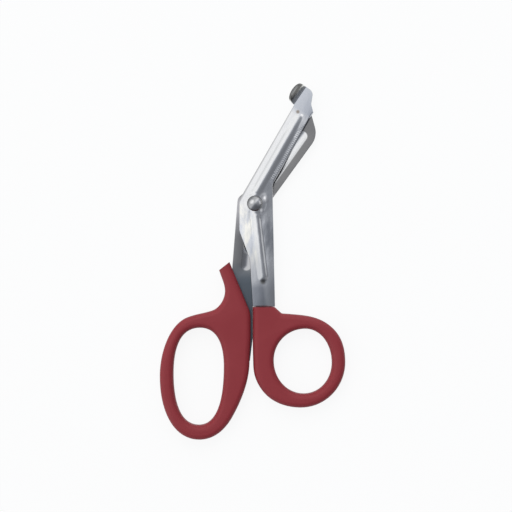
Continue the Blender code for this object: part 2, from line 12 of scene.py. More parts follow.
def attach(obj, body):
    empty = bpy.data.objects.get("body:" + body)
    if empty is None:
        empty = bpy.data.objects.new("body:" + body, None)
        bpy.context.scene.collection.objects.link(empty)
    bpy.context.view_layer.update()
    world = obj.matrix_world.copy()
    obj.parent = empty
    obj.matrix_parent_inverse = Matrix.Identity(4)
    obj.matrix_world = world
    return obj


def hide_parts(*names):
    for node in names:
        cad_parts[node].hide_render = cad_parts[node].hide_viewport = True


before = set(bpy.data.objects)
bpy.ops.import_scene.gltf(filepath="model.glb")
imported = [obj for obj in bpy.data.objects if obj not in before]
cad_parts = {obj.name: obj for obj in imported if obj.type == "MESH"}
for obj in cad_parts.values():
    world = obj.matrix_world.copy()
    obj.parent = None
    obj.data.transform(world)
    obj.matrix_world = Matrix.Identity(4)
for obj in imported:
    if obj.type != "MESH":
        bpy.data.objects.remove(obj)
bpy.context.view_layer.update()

# Photograph
PHOTO_SIZE = 512
PIVOT_PIXEL = (254.8, 203.6)
METRES_PER_PIXEL = 0.0005337

# Stack up the pivot axis. The boss is lower than the solids' one, the rivet's seats aren't
GRIP_THICKNESS = 0.0090
SHEET = 0.0015
BLADE_GAP = 0.0003
PARTING_Z = GRIP_THICKNESS / 2
BEAD_HEIGHT = 0.0007
BEAD_WIDTH = 0.0052
BEAD_EASE = 0.00035
BOSS_HEIGHT = 0.0004
SEAT_HEIGHT = 0.0011
BOSS_FOOT_RADIUS = 0.0060
BOSS_TOP_RADIUS = 0.0043
BOSS_EASE = 0.0008
SEAT_GAP = 0.0001
RIM = 0.00012
LOW_RIM = 0.8 * RIM

# Blades. Reach is along a blade from the pivot to its tip, and offset is to its left
EDGE_LAND = 0.0003
BEVEL_WIDTH = 0.0006
GROOVE_STEP = 0.000275
GROOVE_REACH = 0.0030
GROOVE_DEPTH = 0.00013
GROOVE_END = 0.0520
GROOVE_TAPER = 0.008
GROOVE_LEAST = 0.2
GROOVE_FADE = 0.0006
TIP_FADE = 0.004
TIP_LAND = 0.0005
HEEL_RUN_OUT = 1.2
TIP_RUN_OUT = 2

LOWER_ANGLE = math.radians(60.4)
LOWER_SPINE_OFFSET = 0.0081
LOWER_EDGE_OFFSET = -0.0032
LOWER_EDGE_REACH = 0.0575
LOWER_BEVEL_START = 0.0155
LOWER_HEEL_X = 0.0094
LOWER_ELBOW_X = -0.0082
LOWER_ELBOW_FOOT_Y = -0.0145
LOWER_WAIST = (-0.0027, -0.0295)
LOWER_SHANK_LEFT = -0.0011
LOWER_SHANK_RIGHT = 0.0108
LOWER_BEAD_OFFSET = 0.0025
LOWER_BEAD_REACH = 0.0512
LOWER_SHANK_START = (0.0001, -0.0030)
LOWER_SHANK_BEAD = (0.0043, -0.0390)
SHANK_BEAD_WIDTH = 0.0048
SHANK_BEAD_HEIGHT = 0.00085
TAPER_FROM = 0.75
TAPER_DROP = 0.0005

FOOT_ROOT = (0.0568, 0.00765)
FOOT_ANGLE = math.radians(55.4)
FOOT_LENGTH = 0.0114
FOOT_OVERHANG = 0.00065
FOOT_DEPTH = 0.0065
FOOT_FOLD = math.radians(60)
FOOT_BEND_RADIUS = 0.0010
FOOT_BEND = (FOOT_BEND_RADIUS + SHEET / 2) * FOOT_FOLD
NECK = (0.0046, -0.0073)
TIP_OFFSET = -0.0043

UPPER_ANGLE = math.radians(54.0)
UPPER_SPINE_OFFSET = -0.0060
UPPER_EDGE_OFFSET = 0.0051
UPPER_HEEL_REACH = 0.0125
UPPER_TIP_REACH = 0.0575
UPPER_BEVEL_START = 0.0155
UPPER_NOSE_REACH = 0.0487
UPPER_NOSE_RADIUS = 0.0105
UPPER_SHOULDER = (-0.0091, 0.0030)
UPPER_ELBOW_X = 0.0088
UPPER_ELBOW_FOOT_Y = -0.0140
UPPER_WAIST = (0.0017, -0.0295)
UPPER_SHANK_LEFT = -0.0117
UPPER_SHANK_RIGHT = 0.0003
UPPER_SHANK_LEFT_Y = -0.0301
UPPER_SHANK_RIGHT_Y = -0.0525
UPPER_BEAD_WIDTH = 0.0063
UPPER_BEAD_START_OFFSET = 0.0001
UPPER_BEAD_END_OFFSET = 0.0006
UPPER_BEAD_REACH = 0.0440
BEAD_START = 0.0030
UPPER_SHANK_START = (-BEAD_START / 3, -BEAD_START)
UPPER_SHANK_BEAD = (-0.0045, -0.0330)

TANG_WIDTH = 0.0070
LOWER_TANG_X = 0.0050
LOWER_TANG_END = -0.0800
UPPER_TANG_X = -0.0098
UPPER_TANG_TOP = -0.0549
UPPER_TANG_END = -0.0860
# The upper tang's edge reaches into the gap between the grips, where its dark steel stands in
# partly for the shade in that gap
UPPER_TANG_EDGE_X = -0.00113
UPPER_TANG_EDGE_END = -0.0720
UPPER_TANG_HIDDEN = (-0.0026, -0.0840)
MOULD_GAP = 0.0003
GRIP_TOP = -0.0552

RIVET_RADIUS = 0.0024
BORE_RADIUS = RIVET_RADIUS + 0.00015
HEAD_RADIUS = 0.00415
HEAD_HEIGHT = 0.0025
HEAD_RIM = 0.0004
TAIL_RADIUS = 0.0034
WASHER_RADIUS = 0.0046
WASHER_THICKNESS = 0.0005
WASHER_EASE = 0.00008

# Spacing of the points that the sheets are meshed from
ARC_STEP = math.radians(7)
UPPER_STEP = 0.0004
BEAD_ROW_STEP = 0.0011
BEAD_COLUMN_STEP = 0.00026
BEAD_COLUMNS = 12
BEADS_FROM = 0.0085
BOSS_RINGS = 18
BOSS_RING_STEP = 0.0003
RING_POINTS = 72
BEVEL_LEAD = 0.001
BEVEL_ROWS = (0.0003, 0.00058, 0.0007, 0.0010, 0.0014, 0.0018, 0.0023)
FOOT_STEP = 0.0005
FOOT_BELOW_STEP = 0.0008
SAME_POINT = 0.00012
RIM_CLEARANCE = 2.2 * RIM
WELD = 1e-6

FRONT = 1
BACK = -1


def inner_z(side):
    return PARTING_Z + side * BLADE_GAP / 2


def heading(angle):
    return Vector((math.cos(angle), math.sin(angle)))


def frame_point(angle, reach, offset, origin=(0, 0)):
    return Vector(origin) + heading(angle) * reach + heading(angle + math.pi / 2) * offset


def lower_point(reach, offset):
    return frame_point(LOWER_ANGLE, reach, offset)


def upper_point(reach, offset):
    return frame_point(UPPER_ANGLE, reach, offset)


def foot_point(reach, offset):
    return frame_point(FOOT_ANGLE, reach, offset, lower_point(*FOOT_ROOT))


def reach_and_offset(x, y, angle):
    """Distance along the line at this angle through the pivot, and to its left."""
    return x * math.cos(angle) + y * math.sin(angle), y * math.cos(angle) - x * math.sin(angle)


def line_y(x, angle, offset):
    """Where the line at this angle, offset from the pivot, passes x."""
    return (offset + x * math.sin(angle)) / math.cos(angle)


# Outlines as dense polygons


def rounded(corners, step):
    """A counter-clockwise polygon through (point, fillet radius) corners."""
    corners = [(Vector(point), radius) for point, radius in corners]
    path = []
    for i, (corner, radius) in enumerate(corners):
        back = (corners[i - 1][0] - corner).normalized()
        on = (corners[(i + 1) % len(corners)][0] - corner).normalized()
        half = back.angle(on) / 2
        setback = radius / math.tan(half)
        centre = corner + (back + on).normalized() * radius / math.sin(half)
        start = corner + back * setback - centre
        end = corner + on * setback - centre
        turn = math.atan2(start.x * end.y - start.y * end.x, start.dot(end))
        count = max(3, int(abs(turn) / ARC_STEP))
        first = math.atan2(start.y, start.x)
        path += [centre + heading(first + turn * k / count) * radius for k in range(count + 1)]
    dense = []
    for i, point in enumerate(path):
        after = path[(i + 1) % len(path)]
        count = max(1, round((after - point).length / step))
        dense += [point.lerp(after, k / count) for k in range(count)]
    return np.array([tuple(point) for point in dense])


def ring(radius):
    turns = np.arange(RING_POINTS) * 2 * math.pi / RING_POINTS
    return np.stack([radius * np.cos(turns), radius * np.sin(turns)], 1)


def inset(polygon, distance):
    """The polygon moved to its left by distance."""
    along = np.roll(polygon, -1, 0) - np.roll(polygon, 1, 0)
    along /= np.linalg.norm(along, axis=1)[:, None]
    return polygon + np.stack([-along[:, 1], along[:, 0]], 1) * distance


def inside(points, polygon):
    """True for each point within the polygon."""
    x, y = points[:, 0:1], points[:, 1:2]
    ax, ay = polygon[:, 0], polygon[:, 1]
    bx, by = np.roll(ax, -1), np.roll(ay, -1)
    crosses = (ay > y) != (by > y)
    reach = (bx - ax) * (y - ay) / np.where(by == ay, 1, by - ay) + ax
    return (crosses & (x < reach)).sum(1) % 2 == 1


def border_distance(points, polygon):
    a = polygon[None]
    b = np.roll(polygon, -1, 0)[None]
    p = points[:, None]
    along = np.clip(((p - a) * (b - a)).sum(2) / ((b - a) ** 2).sum(2), 0, 1)[..., None]
    return np.linalg.norm(p - a - (b - a) * along, axis=2).min(1)


# Pressed heights


def smooth_max(a, b, blend):
    return np.maximum(a, b) + np.maximum(blend - np.abs(a - b), 0) ** 2 / (4 * blend)


def share_along(x, y, start, end):
    """How far each point is on the way from start to end, which is at 1."""
    run = Vector(end) - Vector(start)
    return ((x - start[0]) * run.x + (y - start[1]) * run.y) / run.length_squared


def segment_distance(x, y, start, end):
    run = Vector(end) - Vector(start)
    along = np.clip(share_along(x, y, start, end), 0, 1)
    return np.hypot(x - start[0] - run.x * along, y - start[1] - run.y * along)


def pressed(x, y, beads, wall):
    """Height of the beads and the boss over one face of the sheet, wall deep in it.

    Each bead is (start, end, width, height, drop towards its end).
    """
    height = np.zeros_like(x)
    for start, end, width, tall, drop in beads:
        half = width / 2
        dome = (half**2 + tall**2) / (2 * tall) - wall
        away = segment_distance(x, y, start, end)
        arc = np.sqrt(np.maximum(dome**2 - away**2, 0)) - dome + tall
        along = share_along(x, y, start, end)
        arc -= np.clip((along - TAPER_FROM) / (1 - TAPER_FROM), 0, 1) * drop
        height = smooth_max(height, arc, BEAD_EASE)
    slope = BOSS_HEIGHT / (BOSS_FOOT_RADIUS - BOSS_TOP_RADIUS)
    set_in = wall * math.tan(math.atan(slope) / 2)
    cone = (BOSS_FOOT_RADIUS - set_in - np.hypot(x, y)) * slope
    cone = -smooth_max(-cone, np.full_like(cone, -BOSS_HEIGHT), BOSS_EASE)
    return smooth_max(height, cone, BOSS_EASE)


def ground(x, y, angle, edge, inward, start):
    """Height of the ground bevel over the inner face, high away from the edge."""
    reach, offset = reach_and_offset(x, y, angle)
    rise = (SHEET - EDGE_LAND) / BEVEL_WIDTH
    run_out = np.maximum(start - reach, 0) * HEEL_RUN_OUT
    return EDGE_LAND + rise * (offset - edge) * inward + run_out


def grooves(x, y):
    """Depth of the fine serrations across the lower blade's edge."""
    reach, offset = reach_and_offset(x, y, LOWER_ANGLE)
    phase = np.abs((reach / GROOVE_STEP / 4) % 1 - 0.5) * 2
    depth = np.clip((phase - 0.5) * 2, 0, 1) * GROOVE_DEPTH
    depth *= np.clip((reach - LOWER_BEVEL_START) / GROOVE_STEP, 0, 1)
    depth *= np.clip((LOWER_EDGE_REACH - reach) / TIP_FADE, 0, 1)
    wide = GROOVE_REACH * np.clip((GROOVE_END - reach) / GROOVE_TAPER, GROOVE_LEAST, 1)
    return depth * np.clip((LOWER_EDGE_OFFSET + wide - offset) / GROOVE_FADE, 0, 1)


# Sheets


def linked(name, data):
    """A new object with this data, in the scene."""
    obj = bpy.data.objects.new(name, data)
    bpy.context.scene.collection.objects.link(obj)
    return obj


def closed(bm, mesh):
    """The mesh filled from the solid bm, with its faces turned outwards."""
    bmesh.ops.recalc_face_normals(bm, faces=bm.faces)
    bm.to_mesh(mesh)
    bm.free()
    return mesh


def smoothed(mesh, degrees):
    """The mesh shaded smooth, but for edges sharper than this."""
    mesh.shade_smooth()
    mesh.set_sharp_from_angle(angle=math.radians(degrees))
    return mesh


def sheet_mesh(outline, holes, points, outer, inner):
    """A sheet between two height functions, with eased rims."""
    borders = [outline] + holes
    rims = [inset(outline, RIM)] + [inset(hole, -RIM) for hole in holes]
    keep = inside(points, outline) & (border_distance(points, outline) > RIM_CLEARANCE)
    for hole in holes:
        keep &= ~inside(points, hole) & (border_distance(points, hole) > RIM_CLEARANCE)
    coords = []
    edges = []
    for loop in borders + rims:
        first = len(coords)
        coords += [Vector(point) for point in loop]
        edges += [(first + i, first + (i + 1) % len(loop)) for i in range(len(loop))]
    coords += [Vector(point) for point in points[keep]]
    verts, _, faces, *_ = delaunay_2d_cdt(coords, edges, [], 0, WELD)
    flat = np.array([tuple(vert) for vert in verts])
    tris = np.array([tuple(face) for face in faces])
    middle = flat[tris].mean(1)
    used = inside(middle, outline)
    for hole in holes:
        used &= ~inside(middle, hole)
    tris = tris[used]
    a, b, c = flat[tris[:, 0]], flat[tris[:, 1]], flat[tris[:, 2]]
    area = (b[:, 0] - a[:, 0]) * (c[:, 1] - a[:, 1]) - (b[:, 1] - a[:, 1]) * (c[:, 0] - a[:, 0])
    tris[area < 0] = tris[area < 0][:, ::-1]
    used_ids, tris = np.unique(tris, return_inverse=True)
    flat = flat[used_ids]
    tris = tris.reshape(-1, 3).tolist()
    seen = {(tri[k], tri[(k + 1) % 3]): True for tri in tris for k in range(3)}
    rim_edges = [(i, j) for i, j in seen if (j, i) not in seen]
    on_rim = np.zeros(len(flat), bool)
    for i, j in rim_edges:
        on_rim[i] = on_rim[j] = True
    top = outer(flat[:, 0], flat[:, 1]) - on_rim * RIM
    low = inner(flat[:, 0], flat[:, 1]) + on_rim * LOW_RIM
    count = len(flat)
    positions = np.concatenate([np.column_stack([flat, top]), np.column_stack([flat, low])])
    polygons = [tuple(tri) for tri in tris]
    polygons += [tuple(count + i for i in reversed(tri)) for tri in tris]
    polygons += [(j, i, count + i, count + j) for i, j in rim_edges]
    return positions, polygons


def mesh_object(name, positions, polygons):
    mesh = bpy.data.meshes.new(name)
    mesh.from_pydata([tuple(p) for p in positions], [], polygons)
    bm = bmesh.new()
    bm.from_mesh(mesh)
    return linked(name, smoothed(closed(bm, mesh), 32))


def bead_points(start, end):
    """Rows of points over one bead, with rings round its far end."""
    run = Vector(end) - Vector(start)
    side = Vector((-run.y, run.x)).normalized()
    rows = int(run.length / BEAD_ROW_STEP)
    points = []
    for i in range(rows + 1):
        middle = Vector(start) + run * i / rows
        if middle.length > BEADS_FROM:
            for j in range(-BEAD_COLUMNS, BEAD_COLUMNS + 1):
                points.append(middle + side * BEAD_COLUMN_STEP * j)
    angle = math.atan2(run.y, run.x)
    for j in range(1, BEAD_COLUMNS + 1):
        count = max(4, 2 * j)
        for k in range(1, count):
            turn = angle - math.pi / 2 + math.pi * k / count
            points.append(Vector(end) + heading(turn) * BEAD_COLUMN_STEP * j)
    return points


def boss_points():
    points = []
    for i in range(BOSS_RINGS):
        points += [Vector(point) for point in ring(BORE_RADIUS + BOSS_RING_STEP * (i + 1))]
    return points


def bevel_points(point_at, edge, inward, start, end):
    points = []
    first = int(start / GROOVE_STEP)
    for i in range(first, int(end / GROOVE_STEP) + 1):
        for across in BEVEL_ROWS:
            points.append(point_at(i * GROOVE_STEP, edge + inward * across))
    return points


def thinned(points):
    """The points without those that nearly repeat an earlier one."""
    kept = {}
    for point in points:
        key = (round(point[0] / SAME_POINT), round(point[1] / SAME_POINT))
        kept.setdefault(key, (point[0], point[1]))
    return np.array(list(kept.values()))


# Blades


def lower_corners():
    """Corners of the flat sheet, before the foot is folded, and their fillet radii."""
    left = LOWER_TANG_X - TANG_WIDTH / 2
    right = LOWER_TANG_X + TANG_WIDTH / 2
    end = LOWER_TANG_END
    shoulder = GRIP_TOP + MOULD_GAP
    depth = FOOT_BEND + FOOT_DEPTH
    top = FOOT_LENGTH - FOOT_OVERHANG
    heel = line_y(LOWER_HEEL_X, LOWER_ANGLE, LOWER_EDGE_OFFSET)
    elbow = line_y(LOWER_ELBOW_X, LOWER_ANGLE, LOWER_SPINE_OFFSET)
    return [
        ((right, end), 0.0020),
        ((right, shoulder - MOULD_GAP / 2), 0.0005),
        ((LOWER_SHANK_RIGHT, shoulder), 0.0005),
        ((LOWER_HEEL_X, heel), 0.0040),
        (lower_point(LOWER_EDGE_REACH, LOWER_EDGE_OFFSET), 0.0003),
        (foot_point(*NECK), 0.0015),
        (foot_point(top, TIP_OFFSET), 0.0035),
        (foot_point(top, depth), 0.0055),
        (foot_point(-FOOT_OVERHANG, depth), 0.0055),
        (foot_point(-FOOT_OVERHANG, 0), 0.0004),
        ((LOWER_ELBOW_X, elbow), 0.0060),
        ((LOWER_ELBOW_X, LOWER_ELBOW_FOOT_Y), 0.0070),
        (LOWER_WAIST, 0.0120),
        ((LOWER_SHANK_LEFT, shoulder), 0.0005),
        ((left, shoulder - MOULD_GAP / 2), 0.0005),
        ((left, end), 0.0020),
    ]


def upper_corners():
    left = UPPER_TANG_X - TANG_WIDTH / 2
    right = UPPER_TANG_X + TANG_WIDTH / 2
    end = UPPER_TANG_END
    elbow = line_y(UPPER_ELBOW_X, UPPER_ANGLE, UPPER_SPINE_OFFSET)
    return [
        ((right, end), 0.0020),
        (UPPER_TANG_HIDDEN, 0.0010),
        ((UPPER_TANG_EDGE_X, UPPER_TANG_EDGE_END), 0.0060),
        ((UPPER_TANG_EDGE_X, UPPER_TANG_TOP), 0.0005),
        ((UPPER_SHANK_RIGHT, UPPER_SHANK_RIGHT_Y), 0.0020),
        (UPPER_WAIST, 0.0120),
        ((UPPER_ELBOW_X, UPPER_ELBOW_FOOT_Y), 0.0070),
        ((UPPER_ELBOW_X, elbow), 0.0040),
        (upper_point(UPPER_NOSE_REACH, UPPER_SPINE_OFFSET), UPPER_NOSE_RADIUS),
        (upper_point(UPPER_TIP_REACH, UPPER_EDGE_OFFSET), 0.0005),
        (upper_point(UPPER_HEEL_REACH, UPPER_EDGE_OFFSET), 0.0040),
        (UPPER_SHOULDER, 0.0040),
        ((UPPER_SHANK_LEFT, UPPER_SHANK_LEFT_Y), 0.0100),
        ((left, UPPER_SHANK_RIGHT_Y), 0.0100),
        ((left, end), 0.0020),
    ]


def folded(positions):
    """The positions with the foot's half disc folded up out of the sheet."""
    normal = heading(FOOT_ANGLE + math.pi / 2)
    root = foot_point(0, 0)
    centre_z = inner_z(FRONT) + SHEET + FOOT_BEND_RADIUS
    beyond = (positions[:, 0] - root.x) * normal.x + (positions[:, 1] - root.y) * normal.y
    bent = beyond > 0
    turn = FOOT_FOLD * np.clip(beyond / FOOT_BEND, 0, 1)
    flat = np.maximum(beyond - FOOT_BEND, 0)
    radius = centre_z - positions[:, 2]
    shift = radius * np.sin(turn) + flat * np.cos(turn) - beyond
    moved = positions.copy()
    moved[bent, 0] += normal.x * shift[bent]
    moved[bent, 1] += normal.y * shift[bent]
    lifted = centre_z - radius * np.cos(turn) + flat * np.sin(turn)
    moved[bent, 2] = lifted[bent]
    return moved


def foot_points():
    """Rows of points over the foot's bend, its half disc and the sheet below the bend."""
    rows = [FOOT_BEND * j / 8 for j in range(-1, 9)]
    rows += [FOOT_BEND + j * FOOT_STEP for j in range(1, 14)]
    rows += [-j * FOOT_BELOW_STEP for j in range(1, 10)]
    return [foot_point(i * FOOT_STEP, row) for i in range(-2, 24) for row in rows]


def sheet_points(beads):
    points = boss_points()
    for start, end, *_ in beads:
        points += bead_points(start, end)
    return points


def build_lower_blade():
    beads = [
        (
            lower_point(BEAD_START, LOWER_BEAD_OFFSET),
            lower_point(LOWER_BEAD_REACH, LOWER_BEAD_OFFSET),
            BEAD_WIDTH,
            BEAD_HEIGHT,
            TAPER_DROP,
        ),
        (LOWER_SHANK_START, LOWER_SHANK_BEAD, SHANK_BEAD_WIDTH, SHANK_BEAD_HEIGHT, 0.0),
    ]
    end = LOWER_EDGE_REACH - TIP_LAND
    points = sheet_points(beads)
    points += bevel_points(lower_point, LOWER_EDGE_OFFSET, 1, LOWER_BEVEL_START - BEVEL_LEAD, end)
    points += foot_points()
    base = inner_z(FRONT)

    def outer(x, y):
        sheet = SHEET + pressed(x, y, beads, 0)
        reach, _ = reach_and_offset(x, y, LOWER_ANGLE)
        bevel = ground(x, y, LOWER_ANGLE, LOWER_EDGE_OFFSET, 1, LOWER_BEVEL_START)
        bevel += np.maximum(reach - end, 0) * TIP_RUN_OUT
        return base + np.minimum(sheet, bevel) - grooves(x, y)

    def inner(x, y):
        return base + pressed(x, y, beads, SHEET)

    outline = rounded(lower_corners(), GROOVE_STEP)
    positions, polygons = sheet_mesh(outline, [ring(BORE_RADIUS)], thinned(points), outer, inner)
    return mesh_object("lower_blade_fine", folded(positions), polygons)


def build_upper_blade():
    beads = [
        (
            upper_point(BEAD_START, UPPER_BEAD_START_OFFSET),
            upper_point(UPPER_BEAD_REACH, UPPER_BEAD_END_OFFSET),
            UPPER_BEAD_WIDTH,
            BEAD_HEIGHT,
            0.0,
        ),
        (UPPER_SHANK_START, UPPER_SHANK_BEAD, UPPER_BEAD_WIDTH, BEAD_HEIGHT, 0.0),
    ]
    end = UPPER_TIP_REACH + BEVEL_LEAD
    points = sheet_points(beads)
    points += bevel_points(upper_point, UPPER_EDGE_OFFSET, -1, UPPER_BEVEL_START - BEVEL_LEAD, end)
    base = inner_z(BACK)

    def outer(x, y):
        sheet = SHEET + pressed(x, y, beads, 0)
        bevel = ground(x, y, UPPER_ANGLE, UPPER_EDGE_OFFSET, -1, UPPER_BEVEL_START)
        return np.minimum(sheet, bevel)

    def inner(x, y):
        return pressed(x, y, beads, SHEET)

    outline = rounded(upper_corners(), UPPER_STEP)
    positions, polygons = sheet_mesh(outline, [ring(BORE_RADIUS)], thinned(points), outer, inner)
    positions[:, 2] = base - positions[:, 2]
    return mesh_object("upper_blade_fine", positions, polygons)


# Grips


def knot_spline(curve, knots):
    """A closed outline through (x, y, travel in degrees, reach in, reach out) knots."""
    spline = curve.splines.new("BEZIER")
    spline.bezier_points.add(len(knots) - 1)
    spline.use_cyclic_u = True
    for knot, (x, y, travel, reach_in, reach_out) in zip(spline.bezier_points, knots):
        point = Vector((x, y))
        along = heading(math.radians(travel))
        knot.co = (x, y, 0)
        knot.handle_left_type = "FREE" if reach_in else "VECTOR"
        knot.handle_right_type = "FREE" if reach_out else "VECTOR"
        if reach_in:
            knot.handle_left = (*(point - along * reach_in), 0)
        if reach_out:
            knot.handle_right = (*(point + along * reach_out), 0)


def oval_knots(top, right, bottom, left, fullness):
    """Knots of a finger opening through its four outermost points."""
    wide_left = fullness * (top[0] - left[0])
    wide_right = fullness * (right[0] - top[0])
    low_right = fullness * (right[0] - bottom[0])
    low_left = fullness * (bottom[0] - left[0])
    return [
        (*top, 0, wide_left, wide_right),
        (*right, 270, fullness * (top[1] - right[1]), fullness * (right[1] - bottom[1])),
        (*bottom, 180, low_right, low_left),
        (*left, 90, fullness * (left[1] - bottom[1]), fullness * (top[1] - left[1])),
    ]


THUMB_STOP_X = -0.0011
THUMB_LOOP_LEFT = -0.0008
THUMB_LOOP_RIGHT = 0.0482
THUMB_LOOP_BOTTOM = -0.1087
FINGER_STOP_X = -0.0022
FINGER_LOOP_LEFT = -0.0506
FINGER_LOOP_BOTTOM = -0.1258
THUMB_OUTLINE = [
    (0.0140, -0.05830, 137.8, 0.0008, 0),
    (0.0078, -0.05268, 137.8, 0, 0.0020),
    (0.0030, -0.04900, 180, 0.0020, 0.0022),
    (THUMB_STOP_X, -0.05300, 270, 0.0020, 0),
    (THUMB_STOP_X, -0.07300, 270, 0, 0.0040),
    (THUMB_LOOP_LEFT, -0.08650, 272, 0.0045, 0.0050),
    (0.0040, -0.09960, 307, 0.0050, 0.0079),
    (0.0245, THUMB_LOOP_BOTTOM, 0, 0.0079, 0.0131),
    (THUMB_LOOP_RIGHT, -0.08450, 90, 0.0133, 0.0098),
    (0.0374, -0.06325, 149, 0.0088, 0.0072),
    (0.0170, -0.05880, 175, 0.0068, 0.0010),
]
THUMB_HOLE = oval_knots(
    (0.0269, -0.0667), (0.0411, -0.0849), (0.0261, -0.1014), (0.0101, -0.0836), 0.56
)
FINGER_OUTLINE = [
    (FINGER_STOP_X, -0.06200, 90, 0, 0.0020),
    (-0.0032, -0.05620, 112.5, 0.0020, 0),
    (-0.0155, -0.02640, 112.5, 0, 0.0030),
    (-0.0210, -0.02200, 190, 0.0030, 0.0030),
    (-0.0240, -0.02700, 300, 0.0030, 0),
    (-0.0185, -0.03700, 288, 0.0040, 0.0032),
    (-0.0159, -0.04660, 270, 0.0034, 0.0046),
    (-0.0223, -0.05690, 202, 0.0034, 0.0040),
    (-0.0370, -0.06115, 205, 0.0050, 0.0086),
    (FINGER_LOOP_LEFT, -0.09200, 270, 0.0140, 0.0200),
    (-0.0295, FINGER_LOOP_BOTTOM, 0, 0.0130, 0.0088),
    (-0.0119, -0.11360, 61, 0.0064, 0.0090),
    (-0.0028, -0.08400, 90, 0.0110, 0.0040),
    (FINGER_STOP_X, -0.07000, 90, 0.0040, 0),
]
FINGER_HOLE = oval_knots(
    (-0.0292, -0.0662), (-0.0165, -0.0868), (-0.0298, -0.1181), (-0.0434, -0.0905), 0.65
)
HORN_LEFT = (-0.0191, -0.0356)
HORN_RIGHT = (-0.0133, -0.0310)
GRIP_EDGE_RADIUS = 0.0029
GRIP_CURVE_STEPS = 22
GRIP_EDGE_STEPS = 7
SLOT_STEP = 0.0006
TRIM_REACH = 0.02
TRIM_LOW = -0.001
TRIM_HIGH = 0.010


def solid_from(curve, name, height):
    outline = linked(name, curve)
    graph = bpy.context.evaluated_depsgraph_get()
    mesh = bpy.data.meshes.new_from_object(outline.evaluated_get(graph))
    bpy.data.objects.remove(outline)
    bm = bmesh.new()
    bm.from_mesh(mesh)
    bmesh.ops.remove_doubles(bm, verts=bm.verts, dist=WELD)
    bmesh.ops.translate(bm, verts=bm.verts, vec=(0, 0, height))
    return linked(name, closed(bm, mesh))


def prism(name, outline, low, high):
    bm = bmesh.new()
    bottom = [bm.verts.new((*point, low)) for point in outline]
    top = [bm.verts.new((*point, high)) for point in outline]
    bm.faces.new(bottom)
    bm.faces.new(top)
    for i in range(len(outline)):
        j = (i + 1) % len(outline)
        bm.faces.new((bottom[i], bottom[j], top[j], top[i]))
    return linked(name, closed(bm, bpy.data.meshes.new(name)))


def cut(target, tool):
    """Applies a Boolean cut to the target's mesh and removes the tool."""
    boolean = target.modifiers.new("cut", "BOOLEAN")
    boolean.object = tool
    boolean.operation = "DIFFERENCE"
    graph = bpy.context.evaluated_depsgraph_get()
    mesh = bpy.data.meshes.new_from_object(target.evaluated_get(graph))
    target.modifiers.clear()
    target.data = mesh
    bpy.data.objects.remove(tool)


def build_grip(name, outline, hole, cut_from, cut_to, tang, side):
    """One moulding, cut off left of the line cut_from to cut_to, with a slot for the tang."""
    curve = bpy.data.curves.new(name, "CURVE")
    curve.dimensions = "2D"
    curve.fill_mode = "BOTH"
    curve.resolution_u = GRIP_CURVE_STEPS
    curve.extrude = GRIP_THICKNESS / 2 - GRIP_EDGE_RADIUS
    curve.bevel_depth = GRIP_EDGE_RADIUS
    curve.bevel_resolution = GRIP_EDGE_STEPS
    curve.offset = -GRIP_EDGE_RADIUS
    knot_spline(curve, outline)
    knot_spline(curve, hole)
    grip = solid_from(curve, name, GRIP_THICKNESS / 2)
    along = (Vector(cut_to) - Vector(cut_from)).normalized()
    away = Vector((-along.y, along.x)) * TRIM_REACH
    start = Vector(cut_from) - along * TRIM_REACH
    end = Vector(cut_to) + along * TRIM_REACH
    cut(grip, prism("trim", [start, end, end + away, start + away], TRIM_LOW, TRIM_HIGH))
    slot = inset(rounded(tang, SLOT_STEP), -MOULD_GAP)
    middle = inner_z(side) + side * SHEET / 2
    half = SHEET / 2 + MOULD_GAP
    cut(grip, prism("slot", [tuple(point) for point in slot], middle - half, middle + half))
    smoothed(grip.data, 30)
    return grip


# Pivot

TURN_STEPS = 96
DOME_STEPS = 24
TAIL_STEPS = 6


def turned(name, profile):
    """A profile of (radius, height) points turned round the pivot's axis."""
    bm = bmesh.new()
    row = [bm.verts.new((radius, 0, height)) for radius, height in profile]
    for start, end in zip(row, row[1:]):
        bm.edges.new((start, end))
    if profile[0][0] > 0:
        bm.edges.new((row[-1], row[0]))
    bmesh.ops.spin(
        bm,
        geom=bm.verts[:] + bm.edges[:],
        cent=(0, 0, 0),
        axis=(0, 0, 1),
        angle=2 * math.pi,
        steps=TURN_STEPS,
    )
    bmesh.ops.remove_doubles(bm, verts=bm.verts, dist=WELD)
    return linked(name, smoothed(closed(bm, bpy.data.meshes.new(name)), 35))


def build_rivet():
    seat = inner_z(FRONT) + SHEET + SEAT_HEIGHT + SEAT_GAP
    collar = seat - SEAT_HEIGHT + BOSS_HEIGHT
    tail_seat = inner_z(BACK) - SHEET - SEAT_HEIGHT - WASHER_THICKNESS - 2 * SEAT_GAP
    dome_height = HEAD_HEIGHT - HEAD_RIM
    dome = (HEAD_RADIUS**2 + dome_height**2) / (2 * dome_height)
    opening = math.asin(HEAD_RADIUS / dome)
    profile = []
    for step in range(DOME_STEPS + 1):
        turn = opening * step / DOME_STEPS
        profile.append((dome * math.sin(turn), seat + HEAD_HEIGHT - dome * (1 - math.cos(turn))))
    ease = HEAD_RIM / 4
    profile += [
        (HEAD_RADIUS, seat + ease),
        (HEAD_RADIUS - ease, seat),
        (HEAD_RADIUS - ease, collar),
        (RIVET_RADIUS, collar),
        (RIVET_RADIUS, tail_seat),
    ]
    ease = tail_seat / 4
    turns = [math.pi / 2 * step / TAIL_STEPS for step in range(TAIL_STEPS + 1)]
    for turn in turns:
        spread = ease * (1 - math.sin(turn))
        profile.append((TAIL_RADIUS - spread, tail_seat - ease * (1 - math.cos(turn))))
    for turn in turns:
        spread = ease * (1 - math.cos(turn))
        profile.append((TAIL_RADIUS - spread, ease * (1 - math.sin(turn))))
    profile.append((0, 0))
    return turned("rivet_fine", profile)


